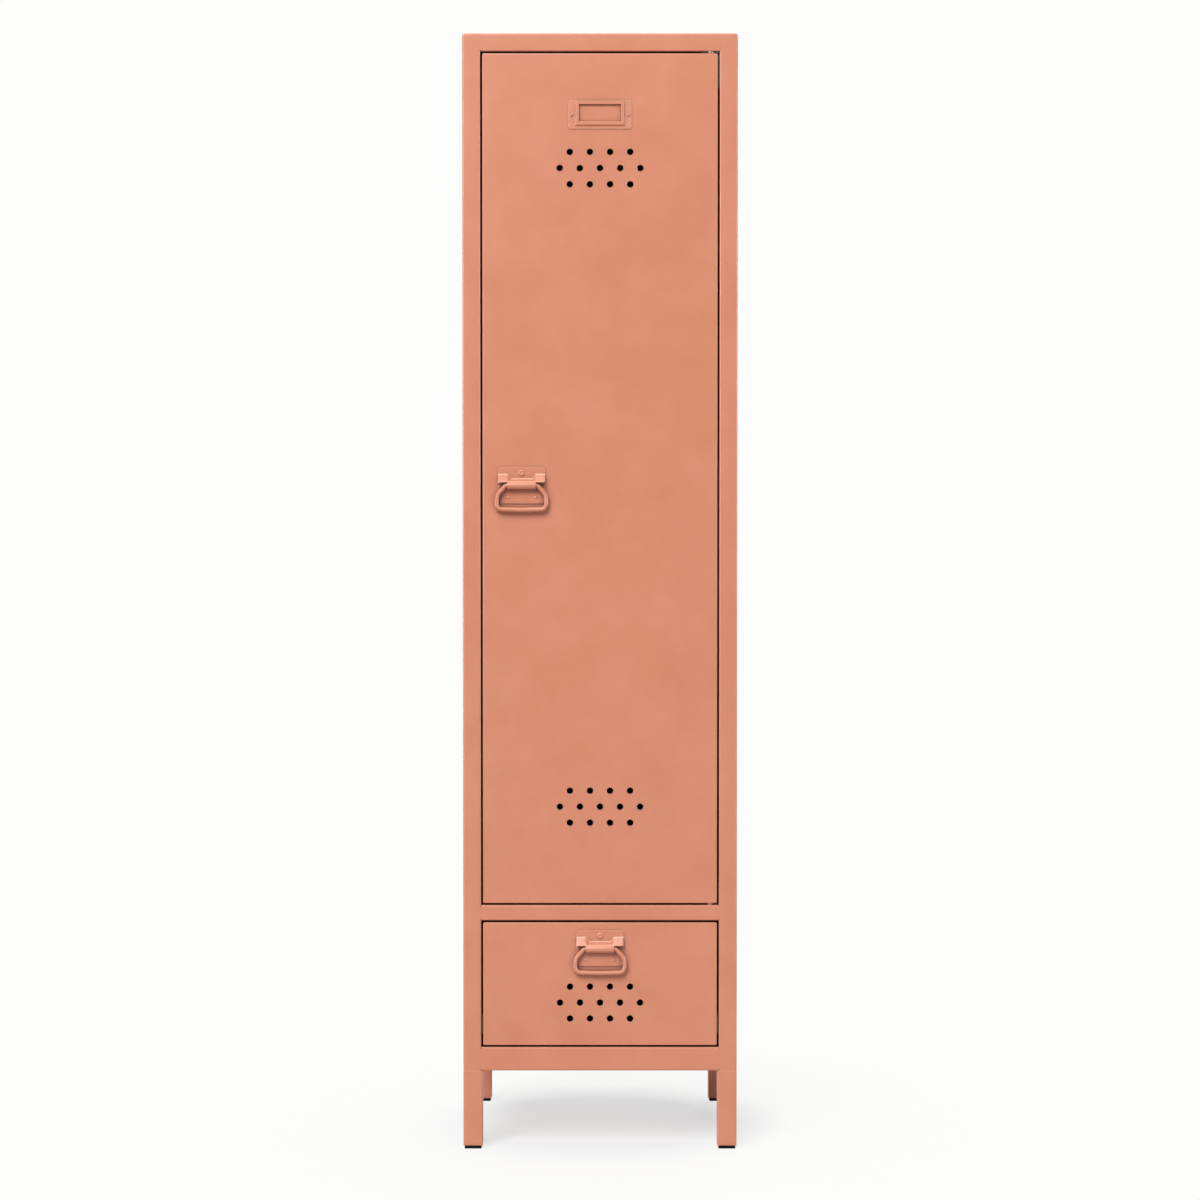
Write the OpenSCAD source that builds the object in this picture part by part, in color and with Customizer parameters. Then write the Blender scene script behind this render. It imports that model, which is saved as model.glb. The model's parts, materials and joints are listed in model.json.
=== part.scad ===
// Free-standing sheet steel locker on legs, with a tall hinged door over a drawer.
// +X is right, the front faces -Y, +Z is up, and the origin lies on the floor
// under the middle of the whole locker, handles included.

/* [Cabinet] */
// Overall width
cab_w = 400; // [340:1:520]
// Depth of the cabinet, without the handles
cab_d = 350; // [330:1:480]
// Overall height from the floor
cab_h = 1626; // [1400:1:1900]
// Thickness of the sheet steel
sheet_t = 1; // [0.8:0.1:1.2]
// Inside radius of the folds
fold_r = 1.5; // [1:0.1:2]
// Radius of the upper side edges
crown_r = 4.5; // [2:0.5:5]
// Width of the welding flanges inside
flange_w = 14; // [10:1:20]

/* [Front frame] */
// Face width of the two stiles
stile_w = 26.5; // [24:0.5:36]
// Height of the top rail
top_rail_h = 26.5; // [20:0.5:40]
// Height of the rail between the door and the drawer
mid_rail_h = 23; // [18:0.5:40]
// Height of the bottom rail
bottom_rail_h = 35; // [25:0.5:60]
// Height of the opening for the drawer
drawer_open_h = 185.5; // [160:0.5:220]
// Depth of the lips that the frame turns back
lip_d = 30; // [28:1:36]
// Gap around the door and the drawer front
gap = 2.5; // [1.8:0.1:3]

/* [Legs and feet] */
// Height of the leg tubes
leg_h = 110; // [60:1:200]
// Outside width of the square leg tubes
leg_w = 28; // [26:1:34]
// Wall of the leg tubes
leg_wall = 1.5; // [1.2:0.1:2]
// Corner radius of the leg tubes
leg_r = 2; // [1.5:0.1:3]
// Height of a foot below its leg
foot_h = 5; // [3:0.5:10]
// Width of a foot
foot_w = 24.6; // [22:0.1:25.4]
// Radius of a foot's lower edges
foot_r = 3; // [1:0.5:4]
// Height of the plug that holds a foot in its leg
plug_h = 16; // [10:1:25]
// Thickness of the plates at the leg joints
plate_t = 3; // [2:0.5:5]
// Diameter of the leg bolts
bolt_d = 8; // [6:1:8]

/* [Door and drawer front] */
// Depth of the folded door and drawer front
pan_d = 18; // [16:0.5:20]
// Inside radius of the folds of the door and drawer front
pan_r = 0.6; // [0.3:0.1:1.5]
// Radius of the corners of the door and drawer front
corner_r = 3; // [1.5:0.5:5]
// Width of the inner lips of the folded pans
pan_lip = 10; // [8:0.5:12]
// Diameter of a vent hole
vent_d = 9.4; // [6:0.1:12]
// Distance between vent holes along a row
vent_pitch = 29.25; // [20:0.25:36]
// Distance between the rows of vent holes
vent_row = 23.4; // [14:0.1:26]
// Distance from the door's top edge to the middle row of its upper vents
vent_drop = 165.9; // [150:0.1:260]
// Distance from the door's bottom edge to the middle row of its lower vents
vent_rise = 141.4; // [60:0.1:200]
// Distance from the drawer front's lower edge to its middle row of vents
drawer_vent_rise = 62.8; // [40:0.1:64]
// Width of the stiffener behind the door
stiffener_w = 60; // [40:1:90]

/* [Pivot hinges] */
// Distance of the hinge axis from the door's right edge
pivot_in = 10; // [9.5:0.1:14]
// Distance of the hinge axis behind the front
pivot_back = 5; // [4.8:0.1:5.2]
// Diameter of the pivot pins
pivot_pin_d = 4; // [3:0.5:4]
// Wall of the nylon pivot bushes
bush_wall = 0.95; // [0.8:0.05:1.2]
// Length of the upper pivot bracket's upright leg
upper_bracket_h = 52; // [30:1:60]
// Length of the lower pivot bracket's upright leg
lower_bracket_h = 30; // [24:1:60]
// Width of a pivot bracket's level leg
bracket_w = 26; // [26:1:50]

/* [Handles] */
// Distance of the door handle from the middle
door_handle_x = -114; // [-116:1:-90]
// Height of the door handle's bail axis
door_handle_z = 970.8; // [800:0.1:1100]
// Distance of the drawer handle's bail axis below the drawer front's top edge
drawer_handle_drop = 38; // [36:0.1:46]
// Width of a handle's base plate
plate_w = 69; // [64:0.5:80]
// Height of the base plate above the bail axis
plate_up = 27.3; // [25:0.1:29]
// Height of the base plate below the bail axis
plate_down = 26.4; // [22:0.1:27]
// Corner radius of the base plate
plate_r = 5.6; // [3:0.1:8]
// Thickness of the pressed handle parts
press_t = 1.2; // [0.8:0.1:1.5]
// Width of the rolled knuckle
knuckle_w = 42; // [36:0.5:44]
// Diameter of the bail's wire
bail_d = 6.3; // [5:0.1:6.6]
// Wall of the rolled knuckle
knuckle_wall = 2.25; // [1.8:0.05:2.4]
// Largest width of the bail
bail_w = 78.4; // [76:0.2:84]
// Distance from the bail's axis to the middle of its grip
bail_drop = 36; // [32:0.5:40]
// How far the grip bows down in the middle
bail_bow = 1.7; // [0.5:0.1:3]
// Diameter of the large rivet head
big_rivet_d = 10; // [8:0.5:11]
// Diameter of the small rivet heads
small_rivet_d = 5; // [4:0.5:6]

/* [Label holder] */
// Width of the label holder
label_w = 91.8; // [80:0.2:110]
// Height of the label holder
label_h = 41.2; // [36:0.2:50]
// Distance from the door's top edge to the label holder
label_drop = 68.4; // [50:0.1:75]
// Width of the raised frame
label_frame_w = 72.6; // [66:0.2:76]
// Height of the raised frame
label_frame_h = 36.7; // [33:0.1:36.8]
// Width of the window
label_window_w = 60.9; // [50:0.1:62]
// Height of the window
label_window_h = 25.1; // [20:0.1:26]
// Height of the raised frame above the door
label_rise = 3; // [2.4:0.1:4]
// Height of the bevel under the raised frame
label_bevel = 1.6; // [1:0.1:3.5]

/* [Inside] */
// Distance of the hat shelf below the door opening's top edge
shelf_drop = 270; // [200:5:400]
// Distance of the coat rail's axis below the hat shelf
rail_drop = 55; // [40:5:90]
// Diameter of the coat rail
rail_d = 19; // [16:0.5:25]

/* [Drawer] */
// Space behind the drawer box
box_space = 34; // [30:1:60]
// Height of the drawer box's sides
box_h = 130; // [80:1:135]
// Height of the drawer box's underside above the drawer opening's edge
box_rise = 14.5; // [13:0.5:17]
// Space for a runner at each side of the drawer
runner_space = 13; // [12:0.1:14]
// Diameter of the rollers fixed to the cabinet
cab_roller_d = 20; // [18:0.2:21]
// Diameter of the rollers fixed to the drawer
drawer_roller_d = 25; // [23:0.2:25.4]
// Diameter of the roller axles
axle_d = 6; // [5:0.5:8]

/* [Fits] */
// Clearance of a part that is dropped over or into another
fit = 0.1; // [0.05:0.01:0.1]
// Running clearance of a shaft in its bore
run_fit = 0.05; // [0.02:0.01:0.1]
// Clearance between parts that pass or nearly touch
clear = 0.3; // [0.2:0.1:0.4]

/* [Hidden] */
$fn = 48;

paint = [0.855, 0.565, 0.45];
zinc = [0.72, 0.73, 0.74];
nylon = [0.93, 0.92, 0.88];
black = [0.05, 0.05, 0.05];
t = sheet_t;
fold_out = fold_r + t;

// Heights of the frame, from the floor up
body_z = foot_h + leg_h;
drawer_z0 = body_z + bottom_rail_h;
drawer_z1 = drawer_z0 + drawer_open_h;
door_z0 = drawer_z1 + mid_rail_h;
door_z1 = cab_h - top_rail_h;

// The handles stand proud, and the origin lies under the middle of the whole
knuckle_ro = bail_d / 2 + run_fit + knuckle_wall;
bail_y = -(press_t + knuckle_ro + fit);
proud = knuckle_ro - bail_y;
front = -(cab_d - proud) / 2;
back = front + cab_d;

half_w = cab_w / 2;
half_in = half_w - t;
half_open = half_w - stile_w;
half_pan = half_open - gap;
rear_in = back - 2 * t;

// The door and the drawer front lie in their openings with a gap all round
pan_z0 = door_z0 + gap;
pan_z1 = door_z1 - gap;
front_z0 = drawer_z0 + gap;
front_z1 = drawer_z1 - gap;
strike_t = 0.8;
catch_y = front + pan_d + strike_t + clear;

// Rows of vents: four, five and four holes
upper_vents_z = pan_z1 - vent_drop;
lower_vents_z = pan_z0 + vent_rise;
drawer_vents_z = front_z0 + drawer_vent_rise;

// Pivot hinge
pivot_x = half_pan - pivot_in;
pivot_y = front + pivot_back;
bracket_t = 1;
bush_ro = pivot_pin_d / 2 + run_fit + bush_wall;
bush_l = 8;
bush_head_t = gap - bracket_t - clear;
bush_head_r = bush_ro + 1.7;
bracket_in = 6;
bracket_back = 2;
bracket_nose_r = bush_head_r - 0.5;

// Handle
drawer_handle_x = 0;
drawer_handle_z = front_z1 - drawer_handle_drop;
big_rivet_z = 18.4;
small_rivet_z = -17.4;
small_rivet_x = 20.5;
rivet_shank_d = 3;
bar_step = 0.02;
bar_lap = 0.05;
ear_z0 = 4.8;
ear_z1 = 16.5;
ear_reach = 9;
ear_in = 20.5;
brow_z = 11;
brow_half = 15;
brow_sink = 0.2;

// Label holder
label_z1 = pan_z1 - label_drop;
label_z0 = label_z1 - label_h;
label_x = (label_w + label_frame_w) / 4;
label_rivet_z = label_z1 - 20.9;
label_t = 0.8;
label_border = 5.6;

// Hat shelf and coat rail
shelf_z = door_z1 - shelf_drop;
shelf_y0 = front + lip_d + 12;
shelf_y1 = rear_in - 1;
shelf_lip = 18;
clip_t = 1.2;
clip_w = 20;
clip_h = 20;
clip_reach = 15;
clip_inset = 25;
rail_y = (front + back) / 2;
rail_z = shelf_z - rail_drop;

// Drawer box and runners, with the runner profiles centred on run_z
box_half = half_open - runner_space;
box_z0 = drawer_z0 + box_rise;
box_y0 = front + pan_d;
box_y1 = rear_in - box_space;
box_flange = 12;
under_t = 1.2;
under_r = 0.4;
under_reach = 18;
run_z = box_z0 + 16;
run_half = drawer_roller_d / 2 + clear;
run_y0 = front + pan_d + 2;
run_y1 = rear_in - 10;
roller_w = 6.5;
roller_u = 4;
cab_roller_y = run_y0 + cab_roller_d / 2 + 3;
cab_roller_z = run_z - 2.5;
drawer_roller_y = box_y1 - drawer_roller_d / 2 - 2;
carrier_h = 50;

// Places of the fasteners that share one size
screw_head_r = 3.5;
screw_head_h = 2;
screw_r = 1.8;
screw_l = 5;

// Wall fixing holes high in the back
wall_hole_d = 7;
wall_hole_x = 150;
wall_hole_drop = 65;

// Extrusions of a flat profile along each axis
module along_x(x0, x1) {
  translate([x0, 0, 0]) rotate([90, 0, 90]) linear_extrude(x1 - x0) children();
}

module along_y(y0, y1) {
  translate([0, y1, 0]) rotate([90, 0, 0]) linear_extrude(y1 - y0) children();
}

module along_z(z0, z1) {
  translate([0, 0, z0]) linear_extrude(z1 - z0) children();
}

// A plain box between two corners
module block(a, b) {
  translate(a) cube(b - a);
}

module both_sides() {
  children();
  mirror([1, 0, 0]) children();
}

// Drawn towards +Y from the front plane, at a place on a panel
module on_front(x, z) {
  translate([x, front, z]) children();
}

function unit(v) = v / norm(v);
function left_of(v) = [-v[1], v[0]];
function turn(a, b, c) = acos(unit(b - a) * unit(c - b));
function reach(a, b, c, r) = r * tan(turn(a, b, c) / 2);

// A bend of a folded strip, at point b of its centre line
module fold(a, b, c, t, r) {
  d = unit(b - a);
  start = b - d * reach(a, b, c, r);
  side = cross(d, c - b) > 0 ? 1 : -1;
  centre = start + left_of(d) * side * r;
  finish = b + unit(c - b) * reach(a, b, c, r);
  translate(centre) intersection() {
    difference() {
      circle(r + t / 2);
      circle(r - t / 2);
    }
    polygon([[0, 0], (start - centre) * 2, (b - centre) * 2, (finish - centre) * 2]);
  }
}

// The section of a folded sheet of thickness t along a centre line, with inside radius r
module folded(line, t, r) {
  last = len(line) - 1;
  mid_r = r + t / 2;
  for (i = [0:last - 1]) {
    d = unit(line[i + 1] - line[i]);
    n = left_of(d) * t / 2;
    a = line[i] + (i == 0 ? [0, 0] : d * reach(line[i - 1], line[i], line[i + 1], mid_r));
    b = line[i + 1] - (i == last - 1 ? [0, 0] : d * reach(line[i], line[i + 1], line[i + 2], mid_r));
    polygon([a - n, b - n, b + n, a + n]);
  }
  for (i = [1:1:last - 1]) fold(line[i - 1], line[i], line[i + 1], t, mid_r);
}

// A rectangle whose two corners on its low second side are rounded
module nosed(a0, a1, b0, b1, r) {
  difference() {
    translate([a0, b0]) square([a1 - a0, b1 - b0]);
    translate([a0, b0]) corner_cut(r);
    translate([a1, b0]) mirror([1, 0]) corner_cut(r);
  }
}

module corner_cut(r) {
  difference() {
    square(r);
    translate([r, r]) circle(r);
  }
}

// A rectangle about the middle with four rounded corners
module rounded(w, h, r) {
  difference() {
    square([w, h], center = true);
    for (i = [0, 1], j = [0, 1])
      mirror([i, 0]) mirror([0, j]) translate([-w / 2, -h / 2]) corner_cut(r);
  }
}

// A block about the middle plane whose four front edges and four corners are rounded
module front_block(half, z0, z1, y0, y1, edge_r, corner) {
  intersection() {
    along_z(z0, z1) nosed(-half, half, y0, y1, edge_r);
    along_x(-half, half) mirror([1, -1]) nosed(z0, z1, y0, y1, edge_r);
    translate([0, 0, (z0 + z1) / 2]) along_y(y0 - t, y1 + t) rounded(2 * half, z1 - z0, corner);
  }
}

// A folded pan: the face, four sides and the lips turned in behind it
module pan(z0, z1) {
  difference() {
    front_block(half_pan, z0, z1, front, front + pan_d, pan_r + t, corner_r);
    front_block(half_pan - t, z0 + t, z1 - t, front + t, front + pan_d - t, pan_r, corner_r - t);
    block([-half_pan + pan_lip, front + pan_d - 2 * t, z0 + pan_lip],
      [half_pan - pan_lip, front + pan_d + t, z1 - pan_lip]);
  }
}

// The outer form that the cabinet's welded and dressed upper edges follow
module outer_form() {
  intersection() {
    along_y(front - t, back + t) mirror([0, 1]) nosed(-half_w, half_w, -cab_h, -body_z, crown_r);
    along_x(-half_w, half_w) difference() {
      translate([front, body_z]) square([cab_d, cab_h - body_z]);
      translate([front, cab_h]) mirror([0, 1]) corner_cut(fold_out);
    }
  }
}

// One side of the cabinet: back flange, wall, stile and the stile's lip
module side_panel() {
  wall = -half_w + t / 2;
  lip = -half_open - t / 2;
  line = [[-half_w + flange_w, back - t / 2], [wall, back - t / 2], [wall, front + t / 2],
    [lip, front + t / 2], [lip, front + lip_d]];
  difference() {
    intersection() {
      along_z(body_z, cab_h) folded(line, t, fold_r);
      outer_form();
    }
    lip_end(body_z, body_z + t);
    lip_end(cab_h - t, cab_h);
  }
}

// Room at a lip's end for the sheet that passes over it
module lip_end(z0, z1) {
  block([-half_open - fold_out, front + t, z0 - (z0 == body_z ? t : 0)],
    [-half_open + t, front + lip_d + t, z1 + (z1 == cab_h ? t : 0)]);
}

module left_side_panel() {
  color(paint) side_panel();
}

module right_side_panel() {
  color(paint) mirror([1, 0, 0]) side_panel();
}

// The back stops short of the side panels' folds
module back_panel() {
  half = half_in - fold_r;
  color(paint) difference() {
    block([-half, rear_in, body_z + t], [half, back - t, cab_h - t]);
    both_sides() translate([wall_hole_x, 0, cab_h - wall_hole_drop])
      along_y(rear_in - t, back) circle(d = wall_hole_d);
  }
}

// A rail's face runs on over the rounded edges of the stiles, fitted to them
module rail_face(z0, z1) {
  difference() {
    block([-half_open - fold_out, front, z0], [half_open + fold_out, front + t, z1]);
    both_sides() translate([half_open + fold_out, front + fold_out, z0 - t])
      cylinder(r = fold_out, h = z1 - z0 + 2 * t);
  }
}

// Front rail and deck as one folded sheet: the lip, the face, the deck and the back flange
module rail_and_deck(lip_z, deck_z, flange_z) {
  line = [[front + lip_d, lip_z], [front + t / 2, lip_z], [front + t / 2, deck_z],
    [rear_in - t / 2, deck_z], [rear_in - t / 2, flange_z]];
  along_x(-half_open, half_open) folded(line, t, fold_r);
}

// The parts of a deck beside the front opening, with a flange along each side wall
module deck_sides(deck_z, flange_z, y0) {
  low = min(deck_z - t / 2, flange_z);
  high = max(deck_z + t / 2, flange_z);
  both_sides() {
    block([half_open, y0, deck_z - t / 2], [half_in, rear_in, deck_z + t / 2]);
    block([half_in - t, front + lip_d + clear, low], [half_in, rear_in - 2 * t, high]);
  }
}

// Weld under the top's side edges, inside their rounding
module crown_beads() {
  both_sides() along_y(front + fold_out, rear_in - 2 * t)
    translate([half_in, cab_h - t]) mirror([1, 0]) mirror([0, 1]) corner_cut(crown_r);
}

module top_panel() {
  color(paint) {
    intersection() {
      union() {
        rail_and_deck(door_z1 + t / 2, cab_h - t / 2, cab_h - flange_w);
        deck_sides(cab_h - t / 2, cab_h - flange_w, front + t);
        crown_beads();
      }
      outer_form();
    }
    intersection() {
      rail_face(door_z1 + fold_out, cab_h);
      outer_form();
    }
  }
}

module bottom_panel() {
  color(paint) difference() {
    union() {
      rail_and_deck(drawer_z0 - t / 2, body_z + t / 2, body_z + flange_w);
      deck_sides(body_z + t / 2, body_z + flange_w, front + t);
      rail_face(body_z + fold_out, drawer_z0 - fold_out);
    }
    leg_places() cylinder(d = bolt_d + 1, h = 4 * t, center = true);
  }
}

module middle_deck() {
  color(paint) {
    rail_and_deck(drawer_z1 + t / 2, door_z0 - t / 2, door_z0 - flange_w);
    deck_sides(door_z0 - t / 2, door_z0 - flange_w, front + lip_d + clear);
    rail_face(drawer_z1 + fold_out, door_z0 - fold_out);
  }
}

// Shelf with its front and back edges folded down, laid on four clips
module hat_shelf() {
  top = shelf_z - t / 2;
  low = shelf_z - shelf_lip;
  line = [[shelf_y0 + shelf_lip / 2, low + t / 2], [shelf_y0 + t / 2, low + t / 2],
    [shelf_y0 + t / 2, top], [shelf_y1 - t / 2, top], [shelf_y1 - t / 2, low]];
  color(paint) along_x(-half_in + clear, half_in - clear) folded(line, t, fold_r);
}

module shelf_clips() {
  ledge_z = shelf_z - t - clip_t / 2;
  leg_x = half_in - clip_t / 2;
  line = [[leg_x, ledge_z - clip_h], [leg_x, ledge_z], [half_in - clip_reach, ledge_z]];
  color(zinc) both_sides() for (y = [shelf_y0 + clip_inset, shelf_y1 - clip_inset - clip_w])
    along_y(y, y + clip_w) folded(line, clip_t, 1);
}

module coat_rail() {
  color(zinc) translate([0, rail_y, rail_z]) rotate([0, 90, 0]) difference() {
    cylinder(d = rail_d, h = 2 * (half_in - clip_t - clear), center = true);
    cylinder(d = rail_d - 2.4, h = cab_w, center = true);
  }
}

// Flanged cups on the side walls that hold the rail's ends
module coat_rail_sockets() {
  color(zinc) both_sides() translate([half_in, rail_y, rail_z]) rotate([0, -90, 0]) difference() {
    union() {
      cylinder(r = rail_d / 2 + 10, h = clip_t);
      cylinder(r = rail_d / 2 + 2, h = 14);
    }
    translate([0, 0, clip_t]) cylinder(r = rail_d / 2 + fit, h = 14);
  }
}

// Places a child at the top of each leg
module leg_places() {
  for (x = [-1, 1], y = [front + leg_w / 2, back - leg_w / 2])
    translate([x * (half_w - leg_w / 2), y, body_z]) children();
}

module leg(x, y) {
  color(paint) translate([x, y, foot_h]) linear_extrude(leg_h) difference() {
    rounded(leg_w, leg_w, leg_r);
    square(leg_w - 2 * leg_wall, center = true);
  }
}

module leg_front_left() {
  leg(-half_w + leg_w / 2, front + leg_w / 2);
}

module leg_front_right() {
  leg(half_w - leg_w / 2, front + leg_w / 2);
}

module leg_back_left() {
  leg(-half_w + leg_w / 2, back - leg_w / 2);
}

module leg_back_right() {
  leg(half_w - leg_w / 2, back - leg_w / 2);
}

// Threaded plates welded into the tops of the legs
module leg_nut_plates() {
  inner = leg_w - 2 * leg_wall - 2 * fit;
  color(zinc) leg_places() translate([0, 0, -plate_t]) linear_extrude(plate_t) difference() {
    square(inner, center = true);
    circle(d = bolt_d + 2 * fit);
  }
}

module leg_bolts() {
  color(zinc) leg_places() {
    translate([0, 0, t + plate_t]) cylinder(d = bolt_d * 1.6, h = bolt_d * 0.6);
    translate([0, 0, -plate_t - 5]) cylinder(d = bolt_d, h = t + 2 * plate_t + 5);
  }
}

// Plates on the cabinet's floor that spread the load of the legs, clear of the folds round them
module corner_plates() {
  half = min(leg_w / 2 - 2 * t, stile_w - t - leg_w / 2) - clear;
  color(zinc) leg_places() translate([0, 0, t]) linear_extrude(plate_t) difference() {
    square(2 * half, center = true);
    circle(d = bolt_d + 1);
  }
}

// Plastic feet with a ribbed plug inside the leg
module feet() {
  inner = leg_w - 2 * leg_wall - 2 * fit;
  color(black) leg_places() translate([0, 0, -body_z]) {
    intersection() {
      linear_extrude(foot_h) rounded(foot_w, foot_w, foot_r);
      foot_nose([1, 0]);
      foot_nose([0, 1]);
    }
    translate([0, 0, foot_h]) linear_extrude(plug_h) difference() {
      square(inner, center = true);
      square(inner - 5, center = true);
    }
    translate([0, 0, foot_h]) linear_extrude(plug_h) {
      square([inner - 4, 2], center = true);
      square([2, inner - 4], center = true);
    }
  }
}

// The rounded lower edge of a foot, seen along one axis
module foot_nose(axis) {
  rotate([0, 0, axis[0] == 1 ? 0 : 90]) along_y(-foot_w, foot_w)
    nosed(-foot_w / 2, foot_w / 2, 0, foot_h, foot_r);
}

// Bracket in the gap: one leg on the stile's lip, one on the rail's lip, folded from strip,
// with a rounded nose that holds the pivot's pin
module pivot_bracket(h) {
  zc = door_z1 - bracket_t / 2;
  x = half_open - bracket_t / 2;
  difference() {
    union() {
      along_y(front + bracket_in, front + lip_d - bracket_back)
        folded([[x, door_z1 - h], [x, zc], [half_open - bracket_w, zc]], bracket_t, 0.5);
      translate([pivot_x, pivot_y, door_z1 - bracket_t]) {
        cylinder(r = bracket_nose_r, h = bracket_t);
        block([-bracket_nose_r, 0, 0], [bracket_nose_r, bracket_in + 1, bracket_t]);
      }
    }
    translate([pivot_x, pivot_y, door_z1 - 2 * bracket_t]) cylinder(d = pivot_pin_d, h = 4 * bracket_t);
  }
}

// Repeats a child at the bottom of the door opening, upside down
module at_bottom() {
  translate([0, 0, door_z0 + door_z1]) mirror([0, 0, 1]) children();
}

// The upper bracket goes on after painting, so that the door can be hung
module upper_pivot_bracket() {
  color(zinc) pivot_bracket(upper_bracket_h);
}

module lower_pivot_bracket() {
  color(paint) at_bottom() pivot_bracket(lower_bracket_h);
}

module pivot_pin() {
  l = bush_l + gap;
  translate([pivot_x, pivot_y, door_z1 - l]) cylinder(d = pivot_pin_d, h = l);
}

module pivot_pins() {
  color(zinc) {
    pivot_pin();
    at_bottom() pivot_pin();
  }
}

// Angle behind the door's left edge that it closes against
module door_stop_strip() {
  stop_y = front + pan_d + clear + t / 2;
  line = [[-half_open + t / 2, front + lip_d], [-half_open + t / 2, stop_y], [-half_open + 12, stop_y]];
  color(paint) along_z(door_z0 + 60, door_z1 - 60) folded(line, t, 0.5);
}

// Magnetic catch under the top rail's lip
catch_x = -80;
catch_w = 46;
catch_d = 14;
catch_h = 13;
magnet_l = 5.4;

module catch_housing() {
  block_x = catch_w / 2;
  translate([catch_x, catch_y, door_z1 - catch_h]) difference() {
    block([-block_x, 0, 0], [block_x, catch_d, catch_h]);
    for (side = [-1, 1]) block([side * 12 - 7, -1, 2], [side * 12 + 7, magnet_l + fit, catch_h - 3]);
    for (side = [-1, 1]) translate([side * 12, catch_d - 4, -1]) cylinder(r = screw_r + fit, h = catch_h + 2);
    for (side = [-1, 1]) translate([side * 12, catch_d - 4, -1])
      cylinder(r = screw_head_r + clear, h = screw_head_h + 2);
  }
}

module catch_magnet() {
  translate([catch_x, catch_y, door_z1 - catch_h])
    for (side = [-1, 1]) block([side * 12 - 6.9, 0, 2.1], [side * 12 + 6.9, magnet_l, catch_h - 3.1]);
}

module catch_housings() {
  color(nylon) {
    catch_housing();
    at_bottom() catch_housing();
  }
}

module catch_magnets() {
  color(black) {
    catch_magnet();
    at_bottom() catch_magnet();
  }
}

// A pan head screw that points up, its head's bearing face at the origin
module screw(l) {
  translate([0, 0, -screw_head_h]) intersection() {
    cylinder(r = screw_head_r, h = screw_head_h);
    translate([0, 0, 4]) sphere(r = 4.6);
  }
  cylinder(r = screw_r, h = l);
}

module pan_head_screws() {
  color(zinc) {
    catch_screws();
    at_bottom() catch_screws();
    runner_screws();
    mirror([1, 0, 0]) runner_screws();
  }
}

module catch_screws() {
  seat_z = catch_h - 1 - screw_head_h;
  for (side = [-1, 1]) translate([catch_x + side * 12, catch_y + catch_d - 4, door_z1 - seat_z])
    screw(seat_z);
}

module runner_screws() {
  for (y = [run_y0 + 70, run_y1 - 40])
    translate([half_open - under_t, y, run_z]) rotate([0, 90, 0]) screw(under_t + screw_l);
}

// Carrier between the stile's lip and the back that a runner is screwed to
module runner_carrier() {
  z0 = run_z - carrier_h / 2;
  lap = 14;
  line = [[half_open + 1.5 * t, front + lip_d - lap], [half_open + 1.5 * t, front + lip_d + 4],
    [half_open + t / 2, front + lip_d + 8], [half_open + t / 2, rear_in - t / 2],
    [half_open + flange_w, rear_in - t / 2]];
  difference() {
    along_z(z0, z0 + carrier_h) folded(line, t, 0.5);
    for (y = [run_y0 + 70, run_y1 - 40]) translate([half_open - t, y, run_z]) rotate([0, 90, 0])
      cylinder(r = screw_r, h = 4 * t);
  }
}

module left_runner_carrier() {
  color(zinc) mirror([1, 0, 0]) runner_carrier();
}

module right_runner_carrier() {
  color(zinc) runner_carrier();
}

// Channel on the cabinet that the drawer's rear roller runs in
module cabinet_runner() {
  x_web = half_open - under_t / 2;
  x_in = box_half + roller_u - 1;
  low = run_z - run_half - under_t / 2;
  high = run_z + run_half + under_t / 2;
  difference() {
    union() {
      along_y(cab_roller_y + cab_roller_d / 2 + 4, run_y1)
        folded([[x_in, high], [x_web, high], [x_web, low], [x_in, low]], under_t, under_r);
      along_y(run_y0, cab_roller_y + cab_roller_d / 2 + 4)
        folded([[x_web, run_z + run_half], [x_web, low], [x_in, low]], under_t, under_r);
    }
    for (y = [run_y0 + 70, run_y1 - 40]) translate([half_open - 3, y, run_z]) rotate([0, 90, 0])
      cylinder(r = screw_r, h = 4);
    translate([half_open - 3, cab_roller_y, cab_roller_z]) rotate([0, 90, 0]) cylinder(r = 2, h = 4);
  }
}

module left_cabinet_runner() {
  color(nylon) mirror([1, 0, 0]) cabinet_runner();
}

module right_cabinet_runner() {
  color(nylon) cabinet_runner();
}

// A stepped axle, riveted at its root, with a head that keeps the roller on
module axle(root) {
  translate([0, 0, -root]) cylinder(r = 2, h = root);
  cylinder(d = axle_d, h = roller_w + 2 * clear + 0.6);
  translate([0, 0, roller_w + 2 * clear]) cylinder(d = axle_d + 3, h = 0.9);
}

module cabinet_roller_axles() {
  color(zinc) both_sides() translate([half_open - under_t, cab_roller_y, cab_roller_z])
    rotate([0, -90, 0]) axle(under_t);
}

module roller(d) {
  translate([0, 0, clear]) rotate_extrude() difference() {
    translate([axle_d / 2 + run_fit, 0]) square([d / 2 - axle_d / 2 - run_fit, roller_w]);
    for (z = [-1.5, roller_w - 1]) translate([axle_d / 2 + 2, z]) square([d / 2 - axle_d / 2 - 4, 2.5]);
  }
}

module cabinet_roller() {
  translate([half_open - under_t, cab_roller_y, cab_roller_z]) rotate([0, -90, 0]) roller(cab_roller_d);
}

module drawer_roller() {
  translate([box_half + under_t, drawer_roller_y, run_z]) rotate([0, 90, 0]) roller(drawer_roller_d);
}

module left_cabinet_roller() {
  color(nylon) mirror([1, 0, 0]) cabinet_roller();
}

module right_cabinet_roller() {
  color(nylon) cabinet_roller();
}

module left_drawer_roller() {
  color(nylon) mirror([1, 0, 0]) drawer_roller();
}

module right_drawer_roller() {
  color(nylon) drawer_roller();
}

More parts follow.
